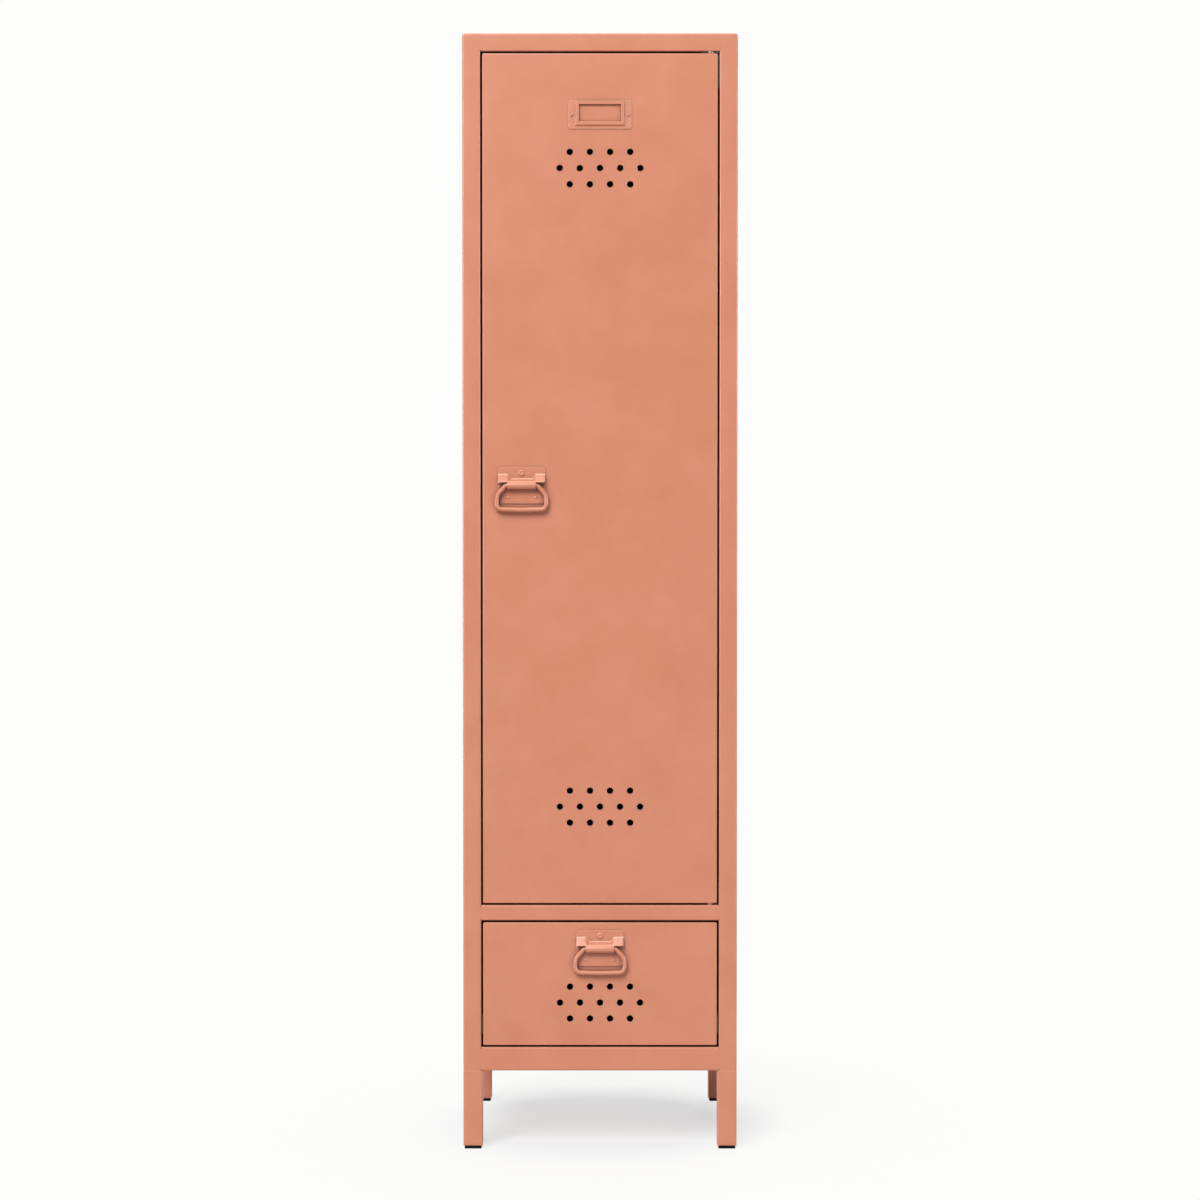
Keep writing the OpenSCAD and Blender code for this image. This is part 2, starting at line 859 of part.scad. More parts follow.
// Rows of four, five and four vent holes
module vents(z) {
  for (row = [-1:1]) {
    count = row == 0 ? 5 : 4;
    for (i = [0:count - 1]) translate([(i - (count - 1) / 2) * vent_pitch, 0, z + row * vent_row])
      along_y(front - t, front + 3 * t) circle(d = vent_d);
  }
}

// Shank holes of a handle's three rivets
module handle_holes(x, z) {
  on_front(x, z) handle_rivet_places() along_y(-4, 4) circle(d = rivet_shank_d);
}

module handle_rivet_places() {
  translate([0, 0, big_rivet_z]) children();
  for (side = [-1, 1]) translate([side * small_rivet_x, 0, small_rivet_z]) children();
}

module label_rivet_places() {
  for (side = [-1, 1]) on_front(side * label_x, label_rivet_z) children();
}

module door_skin() {
  color(paint) difference() {
    pan(pan_z0, pan_z1);
    vents(upper_vents_z);
    vents(lower_vents_z);
    handle_holes(door_handle_x, door_handle_z);
    label_rivet_places() along_y(-4, 4) circle(d = 2);
    translate([pivot_x, pivot_y, pan_z0 - 5]) cylinder(r = bush_ro, h = pan_z1 - pan_z0 + 10);
  }
}

// Hat section behind the door's face, between the vents
module door_stiffener() {
  y = front + 1.5 * t;
  top = front + pan_d - 1.5 * t;
  foot = 12;
  w = stiffener_w / 2;
  line = [[-w, y], [-w + foot, y], [-w + foot, top], [w - foot, top], [w - foot, y], [w, y]];
  color(paint) along_z(lower_vents_z + vent_row + 20, upper_vents_z - vent_row - 20) folded(line, t, fold_r);
}

module pivot_bush() {
  translate([pivot_x, pivot_y, pan_z1]) difference() {
    union() {
      translate([0, 0, -bush_l]) cylinder(r = bush_ro, h = bush_l);
      cylinder(r = bush_head_r, h = bush_head_t);
    }
    translate([0, 0, -bush_l - 1]) cylinder(r = pivot_pin_d / 2 + run_fit, h = bush_l + 3);
  }
}

module pivot_bushes() {
  color(paint) {
    pivot_bush();
    at_bottom() pivot_bush();
  }
}

// Thick plate inside the door's end that backs a bush
module pivot_reinforcement() {
  plate = 2;
  difference() {
    block([pivot_x - 24, front + fold_out, pan_z1 - t - plate],
      [half_pan - max(fold_out, corner_r), front + pan_d - t, pan_z1 - t]);
    translate([pivot_x, pivot_y, pan_z1 - 8]) cylinder(r = bush_ro, h = 10);
  }
}

module pivot_reinforcements() {
  color(zinc) {
    pivot_reinforcement();
    at_bottom() pivot_reinforcement();
  }
}

module strike_plate() {
  block([catch_x - 20, front + pan_d, pan_z1 - pan_lip + 0.5],
    [catch_x + 20, front + pan_d + strike_t, pan_z1 - 0.5]);
}

module strike_plates() {
  color(zinc) {
    strike_plate();
    at_bottom() strike_plate();
  }
}

// Pressed label holder: a raised, bevelled frame that is open behind and at its top edge
module label_holder() {
  half = label_frame_w / 2;
  z0 = label_z1 - label_frame_h;
  top = -label_rise;
  window_z1 = label_z1 - label_border;
  window_z0 = window_z1 - label_window_h;
  color(paint) translate([0, front, 0]) difference() {
    union() {
      translate([0, 0, (label_z0 + label_z1) / 2]) along_y(-label_t, 0) rounded(label_w, label_h, 3);
      intersection() {
        along_x(-half, half) polygon([[0, z0], [-label_t, z0], [top, z0 + label_bevel], [top, label_z1 - 1],
          [-label_t, label_z1], [0, label_z1]]);
        along_z(z0, label_z1) polygon([[-half, 0], [-half, -label_t], [-half + 1.5, top], [half - 1.5, top],
          [half, -label_t], [half, 0]]);
      }
    }
    block([-label_window_w / 2, top - 1, window_z0], [label_window_w / 2, 1, window_z1]);
    block([-label_window_w / 2 - 2.5, top + 1, window_z0 - 2], [label_window_w / 2 + 2.5, 1, label_z1 + 1]);
    for (side = [-1, 1]) translate([side * label_x, 0, label_rivet_z]) along_y(-4, 4) circle(d = 2);
  }
}

// A rivet through a sheet: its head's bearing face lies at y, its tail behind the panel
module rivet(head_d, head_h, shank_d, y) {
  cap_r = (head_d * head_d / 4 + head_h * head_h) / (2 * head_h);
  rotate([90, 0, 0]) {
    intersection() {
      translate([0, 0, -y]) cylinder(d = head_d, h = head_h);
      translate([0, 0, -y + head_h - cap_r]) sphere(r = cap_r);
    }
    translate([0, 0, -t - 1]) cylinder(d = shank_d, h = t + 1 - y);
    translate([0, 0, -t - 1]) cylinder(d = shank_d * 1.6, h = 1);
  }
}

module label_rivets() {
  color(paint) label_rivet_places() rivet(4.5, 1.2, 2, -label_t);
}

// Base plate of a handle, at the origin on the panel's face
module handle_plate() {
  difference() {
    translate([0, 0, (plate_up - plate_down) / 2]) along_y(-press_t, 0)
      rounded(plate_w, plate_up + plate_down, plate_r);
    handle_rivet_places() along_y(-4, 4) circle(d = rivet_shank_d);
  }
}

module door_handle_plate() {
  color(paint) on_front(door_handle_x, door_handle_z) handle_plate();
}

// Section of a pressed sheet that leaves the plate at height z and ends at point tip
function brow(z, tip) =
  let(start = [-press_t, z])
  let(d = unit(tip - start))
  [start, tip, tip + press_t * left_of(d), [-press_t, z + press_t / d[0]]];

// Point where a sheet from height z on the plate runs into the knuckle's front
function knuckle_tip(z) =
  let(to_axis = [bail_y + press_t, -z])
  let(away = norm(to_axis))
  let(r = knuckle_ro - brow_sink)
  let(a = atan2(to_axis[1], to_axis[0]) - asin(r / away))
  [-press_t, z] + sqrt(away * away - r * r) * [cos(a), sin(a)];

// Pressed hood: a low brow over the knuckle that climbs to an eave at each end
module hood() {
  low = brow(brow_z, knuckle_tip(brow_z));
  high = brow(ear_z1, [-ear_reach, ear_z0]);
  stations = [[-plate_w / 2, high], [-ear_in, high], [-brow_half, low],
    [brow_half, low], [ear_in, high], [plate_w / 2, high]];
  points = [for (s = stations, p = s[1]) [s[0], p[0], p[1]]];
  sides = [for (i = [0:4], j = [0:3])
    let(a = 4 * i + j, b = 4 * i + (j + 1) % 4, c = b + 4, d = a + 4)
    each (i >= 2) != (j >= 2) ? [[c, b, a], [d, c, a]] : [[d, b, a], [d, c, b]]];
  polyhedron(points, concat(sides, [[0, 1, 2, 3], [23, 22, 21, 20]]));
}

// Rolled knuckle that holds the bail, under its hood
module knuckle() {
  difference() {
    union() {
      hood();
      translate([0, bail_y, 0]) rotate([0, 90, 0]) cylinder(r = knuckle_ro, h = knuckle_w, center = true);
    }
    translate([0, bail_y, 0]) rotate([0, 90, 0])
      cylinder(r = bail_d / 2 + run_fit, h = plate_w * 2, center = true);
  }
}

module door_knuckle() {
  color(paint) on_front(door_handle_x, door_handle_z) knuckle();
}

module handle_rivets() {
  translate([0, 0, big_rivet_z]) difference() {
    rivet(big_rivet_d, 1.6, rivet_shank_d, -press_t);
    translate([0, -press_t - 3.2, 0]) sphere(r = 2.4);
  }
  for (side = [-1, 1]) translate([side * small_rivet_x, 0, small_rivet_z])
    rivet(small_rivet_d, 1.2, rivet_shank_d, -press_t);
}

module door_handle_rivets() {
  color(paint) on_front(door_handle_x, door_handle_z) handle_rivets();
}

// A closed ring of round bar through a line of points, each bend with its own radius.
// The straights are a hair thinner than the bends, and run a little way into them.
module ring_of_bar(line, radii, d) {
  n = len(line);
  for (i = [0:n - 1]) {
    a = line[i];
    b = line[(i + 1) % n];
    u = unit(b - a);
    start = a + u * (reach(line[(i + n - 1) % n], a, b, radii[i]) - bar_lap);
    finish = b - u * (reach(a, b, line[(i + 2) % n], radii[(i + 1) % n]) - bar_lap);
    translate([start[0], 0, start[1]]) rotate([0, 90 - atan2(u[1], u[0]), 0])
      cylinder(d = d - bar_step, h = norm(finish - start));
    bar_bend(line[(i + n - 1) % n], a, b, radii[i], d);
  }
}

module bar_bend(a, b, c, r, d) {
  u = unit(b - a);
  start = b - u * reach(a, b, c, r);
  side = cross(u, c - b) > 0 ? 1 : -1;
  centre = start + left_of(u) * side * r;
  from = atan2(start[1] - centre[1], start[0] - centre[0]);
  translate([centre[0], 0, centre[1]]) rotate([90, 0, 0])
    rotate([0, 0, side > 0 ? from : from - turn(a, b, c)])
    rotate_extrude(angle = turn(a, b, c)) translate([r, 0]) circle(d = d);
}

// The bail: its axle in the knuckle, two flared sides and a grip that bows down
module bail() {
  side_x = bail_w / 2 - bail_d / 2;
  corner_r = 10;
  corner_z = -bail_drop + bail_bow;
  slope = atan2(bail_bow, side_x);
  bow_r = (side_x - corner_r - 1) / tan(slope);
  right = [[knuckle_w / 2 + 2, 0], [side_x - 2.1, -12], [side_x, -19], [side_x, corner_z]];
  radii = [5, 16, 20, corner_r];
  line = concat(right, [[0, -bail_drop]], [for (i = [3:-1:0]) [-right[i][0], right[i][1]]]);
  bends = concat(radii, [bow_r], [for (i = [3:-1:0]) radii[i]]);
  translate([0, bail_y, 0]) ring_of_bar(line, bends, bail_d);
}

module door_bail() {
  color(paint) on_front(door_handle_x, door_handle_z) bail();
}

module drawer_front() {
  color(paint) difference() {
    pan(front_z0, front_z1);
    vents(drawer_vents_z);
    handle_holes(drawer_handle_x, drawer_handle_z);
  }
}

// Side of the drawer box, flanged outward behind the drawer front and hemmed at its top.
// It stands clear of the runner's fold below and of the back's flange behind.
module drawer_side() {
  x = box_half - t / 2;
  hem_y1 = box_y1 - box_flange - clear;
  along_z(box_z0 + under_r, box_z0 + box_h)
    folded([[half_pan - t, box_y0 + t / 2], [x, box_y0 + t / 2], [x, box_y1]], t, 0.5);
  block([box_half - 3 * t, box_y0 + 3, box_z0 + box_h - 8], [box_half - t, hem_y1, box_z0 + box_h]);
}

module drawer_left_side() {
  color(paint) mirror([1, 0, 0]) drawer_side();
}

module drawer_right_side() {
  color(paint) drawer_side();
}

// Floor of the drawer, flanged up along the sides and down behind the drawer front.
// Its rear end lies under the back, where it has no flanges.
module drawer_bottom() {
  x = box_half - t;
  mid_x = x - t / 2;
  z = box_z0 + t / 2;
  flange_z = z + box_flange;
  flange_y1 = box_y1 - box_flange - clear;
  color(paint) {
    along_y(box_y0 + 3, flange_y1)
      folded([[-mid_x, flange_z], [-mid_x, z], [mid_x, z], [mid_x, flange_z]], t, 0.5);
    block([-x + fold_out, flange_y1, box_z0], [x - fold_out, box_y1, box_z0 + t]);
    along_x(-x + fold_out, x - fold_out)
      folded([[box_y0 + t / 2, z - 8], [box_y0 + t / 2, z], [box_y0 + 6, z]], t, 0.5);
  }
}

module drawer_back() {
  x = box_half - t;
  y = box_y1 - box_flange;
  line = [[-x + t / 2, y], [-x + t / 2, box_y1 - t / 2], [x - t / 2, box_y1 - t / 2], [x - t / 2, y]];
  color(paint) along_z(box_z0 + t, box_z0 + box_h) folded(line, t, 0.5);
}

// Angle under the drawer's edge with a track that rides on the cabinet's roller
module drawer_runner() {
  x = box_half + under_t / 2;
  track_z = cab_roller_z + cab_roller_d / 2 + clear + under_t / 2;
  low = box_z0 - under_t / 2;
  track_y1 = drawer_roller_y - drawer_roller_d / 2 - 2;
  angle = [[box_half - under_reach, low], [x, low], [x, track_z]];
  difference() {
    union() {
      along_y(box_y0 + 4, track_y1) folded(concat(angle, [[box_half + 8, track_z]]), under_t, under_r);
      along_y(track_y1, box_y1) folded(angle, under_t, under_r);
    }
    translate([box_half - 1, drawer_roller_y, run_z]) rotate([0, 90, 0]) cylinder(r = 2, h = 4);
  }
}

module left_drawer_runner() {
  color(nylon) mirror([1, 0, 0]) drawer_runner();
}

module right_drawer_runner() {
  color(nylon) drawer_runner();
}

module drawer_roller_axles() {
  color(zinc) both_sides() translate([box_half + under_t, drawer_roller_y, run_z])
    rotate([0, 90, 0]) axle(under_t);
}

module drawer_handle_plate() {
  color(paint) on_front(drawer_handle_x, drawer_handle_z) handle_plate();
}

module drawer_knuckle() {
  color(paint) on_front(drawer_handle_x, drawer_handle_z) knuckle();
}

module drawer_handle_rivets() {
  color(paint) on_front(drawer_handle_x, drawer_handle_z) handle_rivets();
}

module drawer_bail() {
  color(paint) on_front(drawer_handle_x, drawer_handle_z) bail();
}

left_side_panel();
right_side_panel();
back_panel();
top_panel();
bottom_panel();
middle_deck();
hat_shelf();
shelf_clips();
coat_rail();
coat_rail_sockets();
leg_front_left();
leg_front_right();
leg_back_left();
leg_back_right();
leg_nut_plates();
leg_bolts();
corner_plates();
feet();
upper_pivot_bracket();
lower_pivot_bracket();
pivot_pins();
door_stop_strip();
catch_housings();
catch_magnets();
pan_head_screws();
left_runner_carrier();
right_runner_carrier();
left_cabinet_runner();
right_cabinet_runner();
cabinet_roller_axles();
door_skin();
door_stiffener();
pivot_bushes();
pivot_reinforcements();
strike_plates();
label_holder();
label_rivets();
door_handle_plate();
door_knuckle();
door_handle_rivets();
door_bail();
drawer_front();
drawer_left_side();
drawer_right_side();
drawer_bottom();
drawer_back();
left_drawer_runner();
right_drawer_runner();
drawer_roller_axles();
drawer_handle_plate();
drawer_knuckle();
drawer_handle_rivets();
drawer_bail();
left_cabinet_roller();
right_cabinet_roller();
left_drawer_roller();
right_drawer_roller();
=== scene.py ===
"""The looks of a sheet steel locker: powder coated sheet, pressed handles, runners and catches.

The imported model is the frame, in metres. Every piece made here rides on one of its bodies.
"""

import json
import math

import bmesh
import bpy
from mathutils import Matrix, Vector


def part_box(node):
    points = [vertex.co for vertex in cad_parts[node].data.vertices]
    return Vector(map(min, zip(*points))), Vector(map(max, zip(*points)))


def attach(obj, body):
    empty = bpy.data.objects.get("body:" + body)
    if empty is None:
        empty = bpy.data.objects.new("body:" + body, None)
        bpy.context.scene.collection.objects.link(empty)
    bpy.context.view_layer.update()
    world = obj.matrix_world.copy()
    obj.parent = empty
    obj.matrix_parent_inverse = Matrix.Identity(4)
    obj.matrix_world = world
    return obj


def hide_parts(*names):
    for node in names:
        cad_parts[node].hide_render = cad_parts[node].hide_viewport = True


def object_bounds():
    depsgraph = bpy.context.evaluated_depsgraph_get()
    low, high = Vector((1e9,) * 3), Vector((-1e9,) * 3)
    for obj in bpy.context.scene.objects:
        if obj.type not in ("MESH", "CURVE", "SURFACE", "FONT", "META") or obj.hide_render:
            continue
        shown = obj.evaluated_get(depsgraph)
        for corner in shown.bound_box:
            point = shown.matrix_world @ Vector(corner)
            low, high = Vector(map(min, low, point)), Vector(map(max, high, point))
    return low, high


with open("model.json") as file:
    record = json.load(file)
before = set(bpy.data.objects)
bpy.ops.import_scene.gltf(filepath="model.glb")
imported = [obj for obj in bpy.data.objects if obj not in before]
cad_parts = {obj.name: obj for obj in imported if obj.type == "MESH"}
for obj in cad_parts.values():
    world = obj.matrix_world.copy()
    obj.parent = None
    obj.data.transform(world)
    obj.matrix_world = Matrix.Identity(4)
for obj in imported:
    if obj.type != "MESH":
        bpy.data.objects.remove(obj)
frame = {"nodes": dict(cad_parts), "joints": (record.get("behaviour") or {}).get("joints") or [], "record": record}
CAD_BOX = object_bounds()

bl_info = {
    "name": "Sheet Steel Locker",
    "version": (1, 0, 0),
    "blender": (4, 5, 0),
    "location": "View3D > Sidebar > Locker",
    "description": "Finishes the locker's painted sheets, handles, runners and catches",
    "category": "Object",
}

MM = 0.001
MERGE = 0.002 * MM  # points nearer than this are one
FLAT = math.radians(0.4)  # faces that turn less than this are one
SMOOTH = math.radians(32)  # edges that turn more than this are sharp
ARC_STEP = math.radians(6)
OUTWARD = Vector((0, -1, 0))
AROUND_RAYS = 6  # of the nodes that look round a place on a surface
RIVET_RISE = 1.9 * MM  # of the handles' large rivet heads and the label holder's

KINDS = ("door", "drawer")
HANDLE_PARTS = ("handle_plate", "knuckle", "handle_rivets", "bail")
LEGS = [f"leg_{end}_{side}" for end in ("front", "back") for side in ("left", "right")]

# Press marks on the handles' plates, in millimetres to the right of and above the bail's axis
PIPS = {"drawer": [(-26.4, -18.2), (26.4, -19.4)]}
PIPS["door"] = [*PIPS["drawer"], (13.0, 18.6)]

NODES = frame["nodes"]
BEHAVIOUR = frame["record"]["behaviour"]
BODY_OF = {node: body for body, nodes in BEHAVIOUR["bodies"].items() for node in nodes}
SLOT_OF = {part["node"]: part["material_slot"] for part in frame["record"]["subparts"]}
ANCHORS = {joint["name"]: Vector(joint["pos_m"]) for joint in frame["joints"] if "pos_m" in joint}

# Places that the frame gives
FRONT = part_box("door_skin")[0].y
PLATE_LO, PLATE_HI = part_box("door_handle_plate")
KNUCKLE_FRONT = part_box("door_knuckle")[0].y
FLOOR = CAD_BOX[0].z


def linear(code):
    """Linear colour, with alpha, of an sRGB hex code."""
    shares = [int(code[i : i + 2], 16) / 255 for i in (0, 2, 4)]
    rgb = [c / 12.92 if c <= 0.04045 else ((c + 0.055) / 1.055) ** 2.4 for c in shares]
    return (*rgb, 1.0)


def colour(name, description, code):
    """A colour property with an sRGB hex default."""
    return bpy.props.FloatVectorProperty(
        name=name,
        description=description,
        subtype="COLOR",
        size=4,
        min=0.0,
        max=1.0,
        default=linear(code),
    )


def length(name, description, value, low, high):
    """A length property, given in millimetres and held in metres."""
    return bpy.props.FloatProperty(
        name=name,
        description=description,
        subtype="DISTANCE",
        unit="LENGTH",
        precision=5,
        default=value * MM,
        min=low * MM,
        max=high * MM,
    )


class LockerFinish(bpy.types.PropertyGroup):
    """Colours and surface of the locker's finishes."""

    paint: colour("Paint", "Powder coat on all the sheet steel", "D68C6E")
    paint_light: colour("Light paint", "Thin places of the powder coat", "D99073")
    paint_dark: colour("Dark paint", "Thick places of the powder coat", "D3886A")
    # Painted shade: the coat is darkened towards this colour where other faces are near, in corners, gaps and
    # under the handles
    painted_shade: colour("Painted shade", "Painted shade in inner corners, narrow gaps and near raised parts", "3C0400")
    # Painted highlight: outer edges are lightened towards this colour
    edge_highlight: colour("Painted edge highlight", "Painted highlight on outer edges", "F5BD9E")
    zinc: colour("Zinc", "Clear passivated zinc plate", "B9BCBE")
    chrome: colour("Chrome", "Polished chrome plate on the coat rail", "D8D9DA")
    nylon: colour("Nylon", "Natural nylon rollers, bushes and catches", "E9E5DA")
    enamel: colour("Runner enamel", "Cream epoxy enamel on the runners", "E4E0D4")
    rubber: colour("Feet", "Black moulded polyethylene of the feet", "0B0C0D")
    ferrite: colour("Magnets", "Sintered ferrite of the catch magnets", "2E2D2C")
    coat_grain: length("Coat grain", "Width of a bump in the powder coat", 1.6, 0.4, 6)
    coat_depth: length("Coat depth", "Height of a bump in the powder coat", 0.02, 0, 0.2)
    # Reach of the painted shade
    shade_reach: length("Corner reach", "How far out from nearby faces the painted shade reaches", 11, 0, 30)
    # Reach of the painted highlight
    highlight_reach: length("Edge reach", "How far in from an outer edge the painted highlight reaches", 0.85, 0, 2)
    flow: length("Flow", "Radius to which the melting coat rounds an edge", 1.45, 0, 3)
    cloud_size: length("Cloud size", "Width of a thin or thick place in the coat", 70, 20, 400)


class LockerSizes(bpy.types.PropertyGroup):
    """Sizes of the modelled details."""

    edge: length("Sheet edge", "Rounding that the paint leaves on a cut sheet edge", 0.28, 0.05, 0.6)
    vent_edge: length("Vent edge", "Rounding of the edges of the door and the drawer front", 0.14, 0.05, 0.4)
    press_edge: length("Pressed edge", "Rounding of the handles' blanked edges", 0.85, 0.05, 1.1)
    press: length("Pressed sheet", "Thickness of the handle's pressed sheet", 1.2, 0.8, 1.5)
    ear_top: length("Ear top", "Height of an ear's upper edge over the bail's axis", 16.5, 12, 20)
    ear_tip: length("Ear tip", "Height of an ear's lower edge over the bail's axis", 4.8, 3, 8)
    ear_reach: length("Ear reach", "How far an ear stands off the panel", 9.0, 6, 11)
    ear_in: length("Ear inner end", "Where an ear starts, from the middle", 21.5, 18, 24)
    brow_half: length("Brow half width", "Where the low brow ends, from the middle", 15.5, 10, 18)
    brow_top: length("Brow top", "Height of the low brow over the bail's axis", 9.4, 8, 14)
    press_bend: length("Pressed bend", "Radius where the hood leaves the plate", 2.2, 0.5, 4)
    knuckle_width: length("Knuckle width", "Width of the rolled knuckle", 42, 36, 44)
    knuckle_round: length("Knuckle end", "Rounding of the rolled knuckle's ends", 0.9, 0.2, 2)
    wire: length("Bail wire", "Diameter of the bail's wire", 6.3, 5, 6.6)
    bail_width: length("Bail width", "Largest width of the bail", 78.4, 76, 84)
    bail_drop: length("Bail drop", "From the bail's axis to the middle of its grip", 36, 32, 40)
    bail_bow: length("Bail bow", "How far the grip bows down in the middle", 1.9, 0.5, 3)
    bail_corner: length("Bail corner", "Bend radius of the bail's lower corners", 8, 5, 12)
    big_rivet: length("Large rivet", "Diameter of a handle's large rivet head", 10, 8, 11)
    small_rivet: length("Small rivet", "Diameter of a handle's small rivet heads", 5, 4, 6)
    rim: length("Vent rim", "Width of the lip that the punch and the paint leave round a vent", 0.7, 0.3, 1.5)
    label_rivet: length("Label rivet", "Diameter of the label holder's rivet heads", 4.8, 3, 6)
    pip: length("Pip", "Diameter of the pips that the press leaves on a handle's plate", 2.6, 1, 4)
    cross: length("Cross recess", "Width over the arms of a screw's cross recess", 3.6, 2, 5)
    socket: length("Bolt socket", "Width across the flats of a leg bolt's socket", 6, 4, 7)
    rib: length("Roller rib", "Thickness of the ribs in a roller's recess", 1.1, 0.6, 2)
    leg_edge: length("Leg edge", "Rounding of the legs' cut ends", 0.6, 0.05, 0.9)
    foot_edge: length("Foot edge", "Radius of a foot's lower edges under load", 1, 0.3, 3)
    weld: length("Spot weld", "Width of a spot weld, whose mark is 1.2 times as wide", 5.5, 3, 8)
    weld_depth: length("Spot weld depth", "Height of a weld's tool, 0.4 of it in the sheet", 0.12, 0.02, 0.3)
    weld_pitch: length("Spot weld pitch", "Distance between spot welds along a seam", 75, 40, 150)


def finish():
    return bpy.context.scene.locker_finish


def sizes():
    return bpy.context.scene.locker_sizes


def spaced(values):
    """The same values under the names of sockets, which have spaces for underscores."""
    return {key.replace("_", " "): value for key, value in values.items()}


def add_node(tree, kind, inputs=None, **settings):
    """Adds a node with its settings. An input takes a value, or a socket to link from."""
    made = tree.nodes.new(kind)
    for name, value in settings.items():
        setattr(made, name, value)
    for key, value in (inputs or {}).items():
        if isinstance(value, bpy.types.NodeSocket):
            tree.links.new(value, made.inputs[key])
        else:
            made.inputs[key].default_value = value
    return made


def calc(tree, operation, *values):
    """One step of arithmetic in a tree."""
    return add_node(tree, "ShaderNodeMath", dict(enumerate(values)), operation=operation).outputs[0]


def new_material(name):
    """An empty node material, its tree, and the place on a piece in metres."""
    made = bpy.data.materials.new(name)
    made.use_nodes = True
    tree = made.node_tree
    tree.nodes.clear()
    return made, tree, add_node(tree, "ShaderNodeTexCoord").outputs["Object"]


def noise(tree, space, width, detail=2.0, roughness=0.5, stretch=None):
    """Noise whose features are about width metres across, from 0 to 1."""
    if stretch:
        space = add_node(tree, "ShaderNodeMapping", {"Vector": space, "Scale": stretch}).outputs["Vector"]
    inputs = {"Vector": space, "Scale": 1.0 / width, "Detail": detail, "Roughness": roughness}
    return add_node(tree, "ShaderNodeTexNoise", inputs).outputs["Fac"]


def spread(tree, value, low, high, from_low=0.3, from_high=0.7):
    """Takes a value from one range to another, and keeps it there."""
    inputs = {"Value": value, "From Min": from_low, "From Max": from_high, "To Min": low, "To Max": high}
    return add_node(tree, "ShaderNodeMapRange", inputs).outputs["Result"]


def ramp(tree, value, *stops):
    """A colour ramp through (place, colour) stops."""
    made = add_node(tree, "ShaderNodeValToRGB", {"Fac": value})
    points = made.color_ramp.elements
    while len(points) < len(stops):
        points.new(0.5)
    for point, (place, shade) in zip(points, stops):
        point.position = place
        point.color = shade
    return made.outputs["Color"]


def bump(tree, height, depth, normal=None):
    """Surface normal for a height from 0 to 1 that is depth metres tall."""
    inputs = {"Height": height, "Strength": 1.0, "Distance": depth}
    if normal is not None:
        inputs["Normal"] = normal
    return add_node(tree, "ShaderNodeBump", inputs).outputs["Normal"]


def surface(tree, base, roughness, **inputs):
    """Ends a material in the principled shader."""
    inputs = {"Base Color": base, "Roughness": roughness, **spaced(inputs)}
    shader = add_node(tree, "ShaderNodeBsdfPrincipled", inputs).outputs["BSDF"]
    add_node(tree, "ShaderNodeOutputMaterial", {"Surface": shader})


def mottled(name, pattern, stops, rough, depth=0.0, grain=None, **inputs):
    """A material whose colour and roughness follow one pattern of noise.

    Its surface rises by the depth, with the pattern or with a finer grain of its own.
    """
    made, tree, space = new_material(name)
    marks = noise(tree, space, **pattern)
    if depth:
        inputs["Normal"] = bump(tree, noise(tree, space, grain) if grain else marks, depth)
    surface(tree, ramp(tree, marks, *stops), spread(tree, marks, *rough), **inputs)
    return made


def tinted_near(tree, shade, tint, reach, share, inside=False):
    """A colour tinted where other faces are within reach, seen from outside or inside the piece."""
    settings = {"samples": AROUND_RAYS, "inside": inside}
    open_air = add_node(tree, "ShaderNodeAmbientOcclusion", {"Distance": reach}, **settings).outputs["AO"]
    inputs = {"Factor": spread(tree, open_air, *share), "A": shade, "B": tint}
    return add_node(tree, "ShaderNodeMix", inputs, data_type="RGBA").outputs["Result"]


def powder_coat(name="Polyester powder coat, matte clay", flow=0.0):
    """Polyester powder coat, sprayed on and baked: matte, with a fine orange peel.

    The eye sees an even clay colour that clouds a little where the coat is thicker, and small
    soft bumps that break the light's edge. Inner corners, narrow gaps and the sheet near raised
    parts are darkened towards a near black brown where other faces are near: painted shade.
    Outer edges are lightened with a painted highlight, and their normals are rounded to the radius
    flow. The real bumps are about 0.6 mm wide; they are drawn wider, so that they show.
    """
    made, tree, space = new_material(name)
    look = finish()
    clouds = noise(tree, space, look.cloud_size, detail=3.0, roughness=0.6)
    stops = ((0.0, look.paint_dark), (0.5, look.paint), (1.0, look.paint_light))
    shade = ramp(tree, spread(tree, clouds, 0.0, 1.0), *stops)
    melted = None
    if flow:
        # Painted highlight on outer edges, found by occlusion seen from inside the piece
        highlight_share = (0.75, 0.0, 0.45, 0.92)
        shade = tinted_near(tree, shade, look.edge_highlight, look.highlight_reach, highlight_share, inside=True)
        melted = add_node(tree, "ShaderNodeBevel", {"Radius": flow}, samples=AROUND_RAYS).outputs["Normal"]
    # Painted shade: darker where ambient occlusion finds other faces near
    shade_share = (1.0, 0.0, 0.1, 0.92)
    shade = tinted_near(tree, shade, look.painted_shade, look.shade_reach, shade_share)
    peel = noise(tree, space, look.coat_grain, detail=2.0, roughness=0.6)
    dust = noise(tree, space, look.coat_grain / 4, detail=1.0)
    normal = bump(tree, peel, look.coat_depth, melted)
    surface(tree, shade, spread(tree, dust, 0.33, 0.41), IOR=1.5, Specular_IOR_Level=0.65, Normal=normal)
    return made


def pressed_coat():
    """The same coat on small pressings, legs and fronts, with a painted highlight on their outer edges and normals
    rounded to the radius flow.
    """
    return powder_coat("Polyester powder coat, matte clay, rounded edges", finish().flow)


